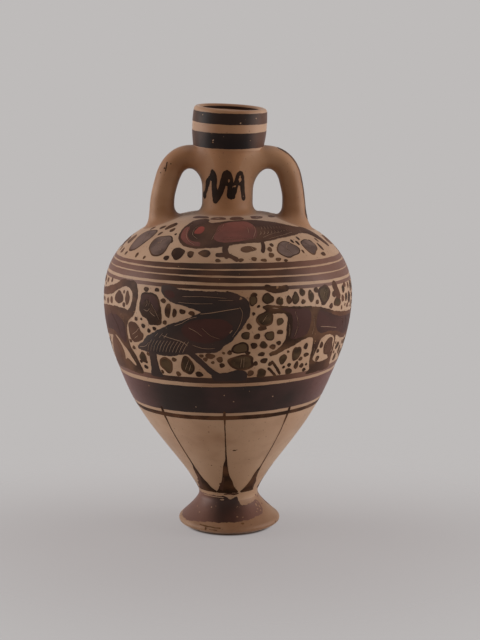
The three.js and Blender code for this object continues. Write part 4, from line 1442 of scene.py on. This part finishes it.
# %% Rosettes
big_rosette = shape(
    [(-41.6, 81.5), (-41, 83.2), (-38, 83.8), (-34.4, 83.6), (-31.6, 82.5), (-30.6, 80.4),
     (-29.8, 78), (-29.6, 75.8), (-30.4, 74.2), (-33, 73.8), (-36.4, 73.9), (-37.6, 75.4),
     (-40, 76), (-41.6, 77.4), (-42.2, 79.5)])
brown_rosette = shape(
    [(-49.4, 73.4), (-46, 73.9), (-43.4, 72.9), (-41.8, 71.3), (-40.4, 70.3), (-41.2, 68.8),
     (-44, 67.6), (-47, 67.3), (-49.4, 68.4), (-50, 71)])
filler_lines = [scratch(p, 0.15) for p in (
    [(-38.6, 79.2), (-37.4, 80.4), (-38.2, 81.8)], [(-37, 79.4), (-36.4, 81), (-37.2, 82.2)],
    [(-35.4, 80.4), (-33, 78.2), (-31, 75.6)], [(-36.4, 78.2), (-34.4, 77), (-33, 76.6)],
    [(-39.6, 78.4), (-37.4, 78), (-36, 79)], [(-48, 69.6), (-45, 70.8), (-42.8, 72.2)],
    [(-46.8, 68.4), (-44, 69.6)], [(8.1, 61), (8, 64.6)], [(6.6, 61.2), (7, 64.4)],
    [(-19.8, 60), (-17.6, 63.4)], [(-18, 59.6), (-16.6, 62)], [(15.4, 75.4), (17.6, 77.8)],
    [(47.4, 81.2), (50.6, 83.8)], [(50, 80.8), (50.8, 82.6)], [(52, 63.6), (54.6, 66.4)])]

# %% Dabs between the animals
round_bird = blobs([
    (-38.8, 84.6, 2.3, 1.3), (-32.8, 84.8, 1.9, 1.0), (-29, 81.7, 2.1, 1.3), (-28.1, 75, 1.7, 1.1),
    (-40, 73.1, 2.0, 1.1), (-36.9, 71.8, 1.5, 1.1), (-33.7, 72.7, 1.5, 1.0),
    (-49.8, 67.4, 1.5, 1.0), (-48.2, 65.3, 2.0, 0.9), (-43, 62.6, 4.4, 3.0), (-39.1, 64, 1.5, 1.0),
    (-42.4, 59.4, 2.2, 1.1), (-45, 61, 1.4, 0.8), (-41.4, 61.2, 1.4, 0.8), (-26.6, 78.8, 2.4, 4.2),
    (-23.4, 78.2, 1.5, 2.6), (-19.7, 78.8, 2.3, 1.3), (-15.4, 78.4, 2.4, 1.2),
    (-29.4, 61.2, 6.6, 4.9), (-24.9, 63.2, 1.9, 1.2), (-23.6, 58.5, 2.2, 1.3),
    (-18.4, 61.5, 6.4, 5.4), (-13, 58.8, 3.4, 1.5), (-7.4, 65.0, 4, 1.5), (-3, 63.9, 2.6, 1.6),
    (-32.4, 58.6, 1.2, 1.0), (-9.6, 63.9, 1.6, 1.2), (-11.4, 65, 1.6, 0.9), (-2, 62, 2.2, 1.2),
    (7, 62.9, 12.5, 4.6), (6.2, 67.6, 7.4, 3.4), (12.2, 68.3, 2.5, 1.8), (9.6, 66.0, 2, 0.9),
    (1.4, 66.2, 1.8, 1.2), (17.5, 63.2, 3.2, 1.4), (0.2, 84.9, 1, 0.7), (11.4, 82.4, 3.1, 3.0),
    (11.9, 84.1, 2.4, 1.1), (8.3, 71.6, 3.6, 2.1), (13.4, 71.2, 2.4, 1.6), (16.8, 76.6, 7.4, 4.6),
    (15.6, 73.8, 3.4, 1.4), (19.2, 71.2, 4.4, 2.6), (18.1, 82.8, 4.6, 3.2), (23.7, 75.5, 2.7, 2.2),
    (24, 72.2, 2.4, 1.3), (23.8, 68.7, 1.9, 1.2), (21, 67.6, 2.6, 1.4), (16, 65.4, 2.6, 1.2),
    (23.6, 81.8, 3.3, 2.1), (28.2, 82, 2.2, 2.3), (31.6, 82.3, 3.0, 3.6), (35.4, 83.9, 2.6, 2.2),
    (35.6, 81, 1.8, 1.3), (40.2, 82.4, 2.9, 3.4), (43.8, 84, 2.4, 1.5), (49, 82.4, 8.4, 5.2),
    (43.8, 80.3, 1.7, 1.1), (48, 79.5, 3.0, 0.8), (53.5, 78.2, 2.4, 1.4), (56.2, 81.7, 2.3, 1.8),
    (59, 79, 5.8, 2.8), (66, 82.5, 2.6, 2.4), (68.2, 83.6, 2.6, 1.5), (64.6, 79.6, 2.4, 2.0),
    (69, 79.6, 2.6, 2.6), (11.6, 59.2, 2.7, 1.8), (17, 59, 4.4, 2.8), (13.6, 62.4, 1.8, 1.2),
    (27, 63.2, 3.6, 2.9), (34, 64.6, 4.4, 4.6), (20.8, 62, 1.6, 1.2), (31, 61, 1.6, 1.1),
    (38.8, 66.6, 1.8, 2.0), (40, 63.7, 2.6, 1.2), (37, 62.6, 1.8, 1.1), (38.6, 60.2, 2.3, 1.2),
    (41, 58.6, 2.0, 0.9), (35.2, 60.6, 2.2, 2.2), (31.4, 58.8, 3.4, 2.0), (49.4, 66.0, 2.0, 1.8),
    (48.6, 61.6, 2.2, 1.5), (58.4, 62, 2.4, 1.6), (47.6, 64.2, 1.5, 1.0), (74, 79, 4.6, 3.4),
    (79, 82.4, 4.4, 3.6), (84, 78.4, 3.4, 2.6), (91, 81.4, 6.4, 5.0), (96.4, 77, 3.2, 2.6),
    (87, 83.8, 1.8, 1.4), (73.4, 83, 2, 1.8)], wider=0.55, higher=0.3)
in_window = blobs([(55.6, 64.9, 8.0, 5.8), (48.6, 61.7, 2.8, 1.6), (58.2, 62, 2.2, 1.6),
                   (196.4, 65, 9.2, 5.8), (201, 61.8, 2.8, 1.4), (191.6, 62, 2.2, 1.6)])
slashes = marks([([(20.4, 60.4), (22.4, 59.2), (24.4, 57.8)], 0.9),
                 ([(21.6, 62.6), (24, 60.8), (26.6, 58.4)], 0.9),
                 ([(57.6, 84.4), (58.8, 82.6), (60.2, 80.8)], 2.8),
                 ([(18, 86.1), (22, 85.2), (27.4, 85.6)], 1.9)])
drawn = [big_rosette] + round_bird + in_window + slashes
print("dabs and strokes drawn one by one:", len(drawn))

# %% Dabs in the room that is left
FRIEZE_LOW, FRIEZE_HIGH = 58, 85.6
around_jar = np.radians(np.arange(-130, 250, 0.6))
frieze_limits = []
# the height of the edge in front, its rise and droop, and a height that is well past it
for z, lift, droop, beyond in ((FRIEZE_HIGH, -0.84, 0.9, 90), (57.7, 0.34, 0, 52)):
    line = np.column_stack([np.degrees(around_jar) * WALL_DEGREE,
                            z + lift * np.sin(around_jar) - droop * np.sin(around_jar) ** 2])
    frieze_limits.append(np.vstack([line, (line[-1, 0], beyond), (line[0, 0], beyond)]))
taken = (drawn + [brown_rosette, cat, cat_tail, bird] + cat_dabs + bird_parts + goat_edges
         + [swan] + swan_legs + frieze_limits)
front = fill_room((-122 * WALL_DEGREE, FRIEZE_LOW), (99 * WALL_DEGREE, FRIEZE_HIGH), taken,
                  gap=0.62, smallest=0.42, largest=1.3)
back = fill_room((96 * WALL_DEGREE, FRIEZE_LOW), (240 * WALL_DEGREE, FRIEZE_HIGH), taken + front,
                 gap=0.75, smallest=0.45, largest=2.6)
print("dabs in the room that was left:", len(front), "in front,", len(back), "at the back")

# %% Scratch crosses into the large ones and paint them all
LARGE_DAB = 1.6
for dab in back:
    middle, size = dab.mean(axis=0), np.ptp(dab, axis=0).min() / 2
    if size > LARGE_DAB:
        for lean in (0.5, 2.1):
            reach = np.array([math.cos(lean), math.sin(lean)]) * size * 0.8
            filler_lines.append(scratch([middle - reach, middle + reach], 0.14, 1))
for name, dabs, slip in (("frieze_fillers", drawn + front, worn_slip),
                         ("back_frieze_fillers", back, worn_slip),
                         ("frieze_brown_rosette", [brown_rosette], brown_slip)):
    paint(name, wall_sheet, dabs, filler_lines, slip, top=DAB_TOP)
for name, middles, slip in (
        ("frieze_fillers_rubbed", rubbed_middles(round_bird + front, least=2.3), olive_slip),
        ("frieze_window_rubbed", rubbed_middles(in_window[:1], least=1.5, share=0.84), brown_slip),
        ("back_frieze_fillers_rubbed", rubbed_middles(back + in_window[3:], least=2.6),
         olive_slip)):
    paint(name, wall_sheet, middles, filler_lines, slip, **RUBBED)
rosette_red = shape([(-41, 82.6), (-38, 83.2), (-34, 82.9), (-32, 81.6), (-31.4, 78.6),
                     (-33.6, 78.4), (-35.4, 80.6), (-38.4, 81.6), (-40.6, 79.6)], rough=0.05)
paint("frieze_rosette_red", wall_sheet, [rosette_red], filler_lines, dull_red, **RED)


# %% [markdown]
# ## A stripe on the handles
# A stripe of slip runs down the back of each handle, from the knee to the shoulder. From the front
# only its edge shows, on the right. The left knee has a few small chips.

# %% Stripe and marks on the handles
HANDLE_DEGREE = 0.075


def handle_sheet(side):
    """A sheet of angle round the handle and, counted downwards, length along it."""
    rows = handle_rows(side)
    middle = rows.mean(axis=1)
    run = length_along(middle)

    def place(flat):
        along = np.interp(-flat[:, 1], run, np.arange(len(rows)))
        turn = (flat[:, 0] / HANDLE_DEGREE / 360 * HANDLE_SIDES) % HANDLE_SIDES
        i = np.minimum(along.astype(int), len(rows) - 2)
        j = turn.astype(int) % HANDLE_SIDES
        u, v = (along - i)[:, None], (turn - np.floor(turn))[:, None]
        k = (j + 1) % HANDLE_SIDES
        return ((rows[i, j] * (1 - v) + rows[i, k] * v) * (1 - u)
                + (rows[i + 1, j] * (1 - v) + rows[i + 1, k] * v) * u)

    return place


stripe_edge = [(-22, -7.5), (-27, -11), (-26, -15), (-27, -19), (-24, -24), (-23, -29.6), (4, -30),
               (34, -29.4), (38, -24), (38, -17), (34, -12), (8, -7.2)]
stripe_shift = {-1: 42, 1: 0}
for name, side in SIDES:
    points = [(side * (a + stripe_shift[side]), run) for a, run in stripe_edge]
    paint(name + "_handle_stripe", handle_sheet(side), [shape(points, HANDLE_DEGREE, rough=0.08)],
          [], worn_slip)
knee_marks = marks([([(56, -11.0), (66, -12.0), (72, -13.2)], 0.35), (60, -12.6, 8, 0.5),
                    (76, -10.6, 6, 0.4, 30), (50, -14.2, 5, 0.4, 30)], HANDLE_DEGREE)
paint("left_knee_marks", handle_sheet(-1), knee_marks, [], worn_slip, top=FIGURE_TOP)

# %% [markdown]
# ## Floor, light and camera
# The jar stands on a pale sheet that fades into a pale ground, under soft light from both sides
# and above, as a studio lights pottery. The light is at a level where a colour looks about as it
# is written. The camera stands where the photographer's did, a little above the shoulder.

# %% Floor
GROUND = linear(190, 187, 186)
# painted shade: the floor's glow is darker in front of the jar than behind it
NEAR_FLOOR_SHADE = linear(171, 166, 166)
FAR_FLOOR = linear(188, 185, 185)
# painted shadow: the colour that the floor's glow takes in the slit under the foot
PAINTED_FOOT_SHADOW = linear(40, 28, 20)
UNDER_THE_JAR = (0, 0, 0.00002)

floor_points, floor_faces = spin([(r, 0) for r in np.concatenate([[0], np.geomspace(4, 700, 60)])],
                                 96)
floor_mesh = bpy.data.meshes.new("floor")
floor_mesh.from_pydata((floor_points * MM - UNDER_THE_JAR).tolist(), [], floor_faces)
floor = bpy.data.objects.new("floor", floor_mesh)
bpy.context.scene.collection.objects.link(floor)

floor_material, tree, shader = new_material("pale sheet")
shader.inputs["Base Color"].default_value = linear(236, 232, 230)
shader.inputs["Roughness"].default_value = 0.9


def seen_directly(tree):
    """1 for rays from the camera, and in mirrors and glass; 0 for light that falls on things."""
    path = tree.nodes.new("ShaderNodeLightPath")
    direct = plus(tree, path.outputs["Is Camera Ray"], path.outputs["Is Glossy Ray"])
    return math_node(tree, "ADD", direct, path.outputs["Is Transmission Ray"], clamp=True)


def mix_shader(tree, factor, first, second):
    node = tree.nodes.new("ShaderNodeMixShader")
    for socket, value in zip(node.inputs, (factor, first, second)):
        tree.links.new(value, socket)
    return node.outputs[0]


# %% The sheet's look: mostly an even glow near the jar, painted shade darker in front of it than behind, a painted shadow in the slit under its foot, clear far off
EVEN_TONE = 0.8
FOOT_MIDDLE = (0.0005, 0, 0)
glow = tree.nodes.new("ShaderNodeEmission")
part = times(tree, seen_directly(tree), EVEN_TONE)
sheet_look = mix_shader(tree, part, shader.outputs[0], glow.outputs[0])
place = tree.nodes.new("ShaderNodeTexCoord")
split = tree.nodes.new("ShaderNodeSeparateXYZ")
tree.links.new(place.outputs["Object"], split.inputs[0])
# painted shade: from the darker floor in front of the jar to the lighter floor behind it
back = ramp(tree, split.outputs["Y"], -0.03, 0.085)
away = tree.nodes.new("ShaderNodeVectorMath")
away.operation = "DISTANCE"
away.inputs[1].default_value = FOOT_MIDDLE
tree.links.new(place.outputs["Object"], away.inputs[0])
# painted shadow: the glow goes dark within the foot's rim
outside_foot_shadow = ramp(tree, away.outputs["Value"], 0.0133, 0.015)
open_floor = mix_colour(tree, back, NEAR_FLOOR_SHADE, FAR_FLOOR)
tree.links.new(mix_colour(tree, outside_foot_shadow, PAINTED_FOOT_SHADOW, open_floor), glow.inputs["Color"])
fade = times(tree, ramp(tree, away.outputs["Value"], 0.05, 0.17), seen_directly(tree))
clear = tree.nodes.new("ShaderNodeBsdfTransparent")
faded = mix_shader(tree, fade, sheet_look, clear.outputs[0])
tree.links.new(faded, tree.nodes["Material Output"].inputs["Surface"])
floor_mesh.materials.append(floor_material)
print("floor faces:", len(floor_mesh.polygons))

# %% Ground colour and the light that comes from everywhere
world = bpy.data.worlds.new("studio")
bpy.context.scene.world = world
world.use_nodes = True
tree = world.node_tree
tree.nodes.clear()
seen = tree.nodes.new("ShaderNodeBackground")
seen.inputs["Color"].default_value = GROUND
soft = tree.nodes.new("ShaderNodeBackground")
soft.inputs["Color"].default_value = (1.0, 0.88, 0.78, 1)
soft.inputs["Strength"].default_value = 0.16
output = tree.nodes.new("ShaderNodeOutputWorld")
sky = mix_shader(tree, seen_directly(tree), soft.outputs[0], seen.outputs[0])
tree.links.new(sky, output.inputs["Surface"])
print("world:", world.name)

# %% Soft lamps
AIM = Vector((0.004, 0, 0.075))


def soft_lamp(name, where, wide, high, power):
    lamp = bpy.data.lights.new(name, "AREA")
    lamp.shape = "RECTANGLE"
    lamp.size = wide
    lamp.size_y = high
    lamp.energy = power
    lamp_object = bpy.data.objects.new(name, lamp)
    lamp_object.location = where
    lamp_object.rotation_euler = (AIM - Vector(where)).to_track_quat("-Z", "Y").to_euler()
    bpy.context.scene.collection.objects.link(lamp_object)


soft_lamp("left lamp", (-0.75, 0.02, 0.11), wide=0.5, high=0.7, power=4.9)
soft_lamp("right lamp", (0.74, -0.06, 0.1), wide=0.5, high=0.7, power=5.2)
soft_lamp("top lamp", (0, 0.05, 0.85), wide=0.6, high=0.6, power=1.9)

# %% Camera
PHOTO_HEIGHT = 640
FOCAL_PIXELS = 1623
SENSOR = 36
camera_data = bpy.data.cameras.new("camera")
camera_data.sensor_fit = "VERTICAL"
camera_data.sensor_width = camera_data.sensor_height = SENSOR
camera_data.lens = SENSOR * FOCAL_PIXELS / PHOTO_HEIGHT
camera = bpy.data.objects.new("camera", camera_data)
camera.location = (0.00412, -0.5268, 0.1628)
camera.rotation_euler = (math.radians(79.95), 0, 0)
bpy.context.scene.collection.objects.link(camera)
bpy.context.scene.camera = camera
bpy.context.scene.view_settings.view_transform = "Standard"
print("lens:", round(camera_data.lens, 1), "mm")

# %% Finish
bpy.context.view_layer.update()
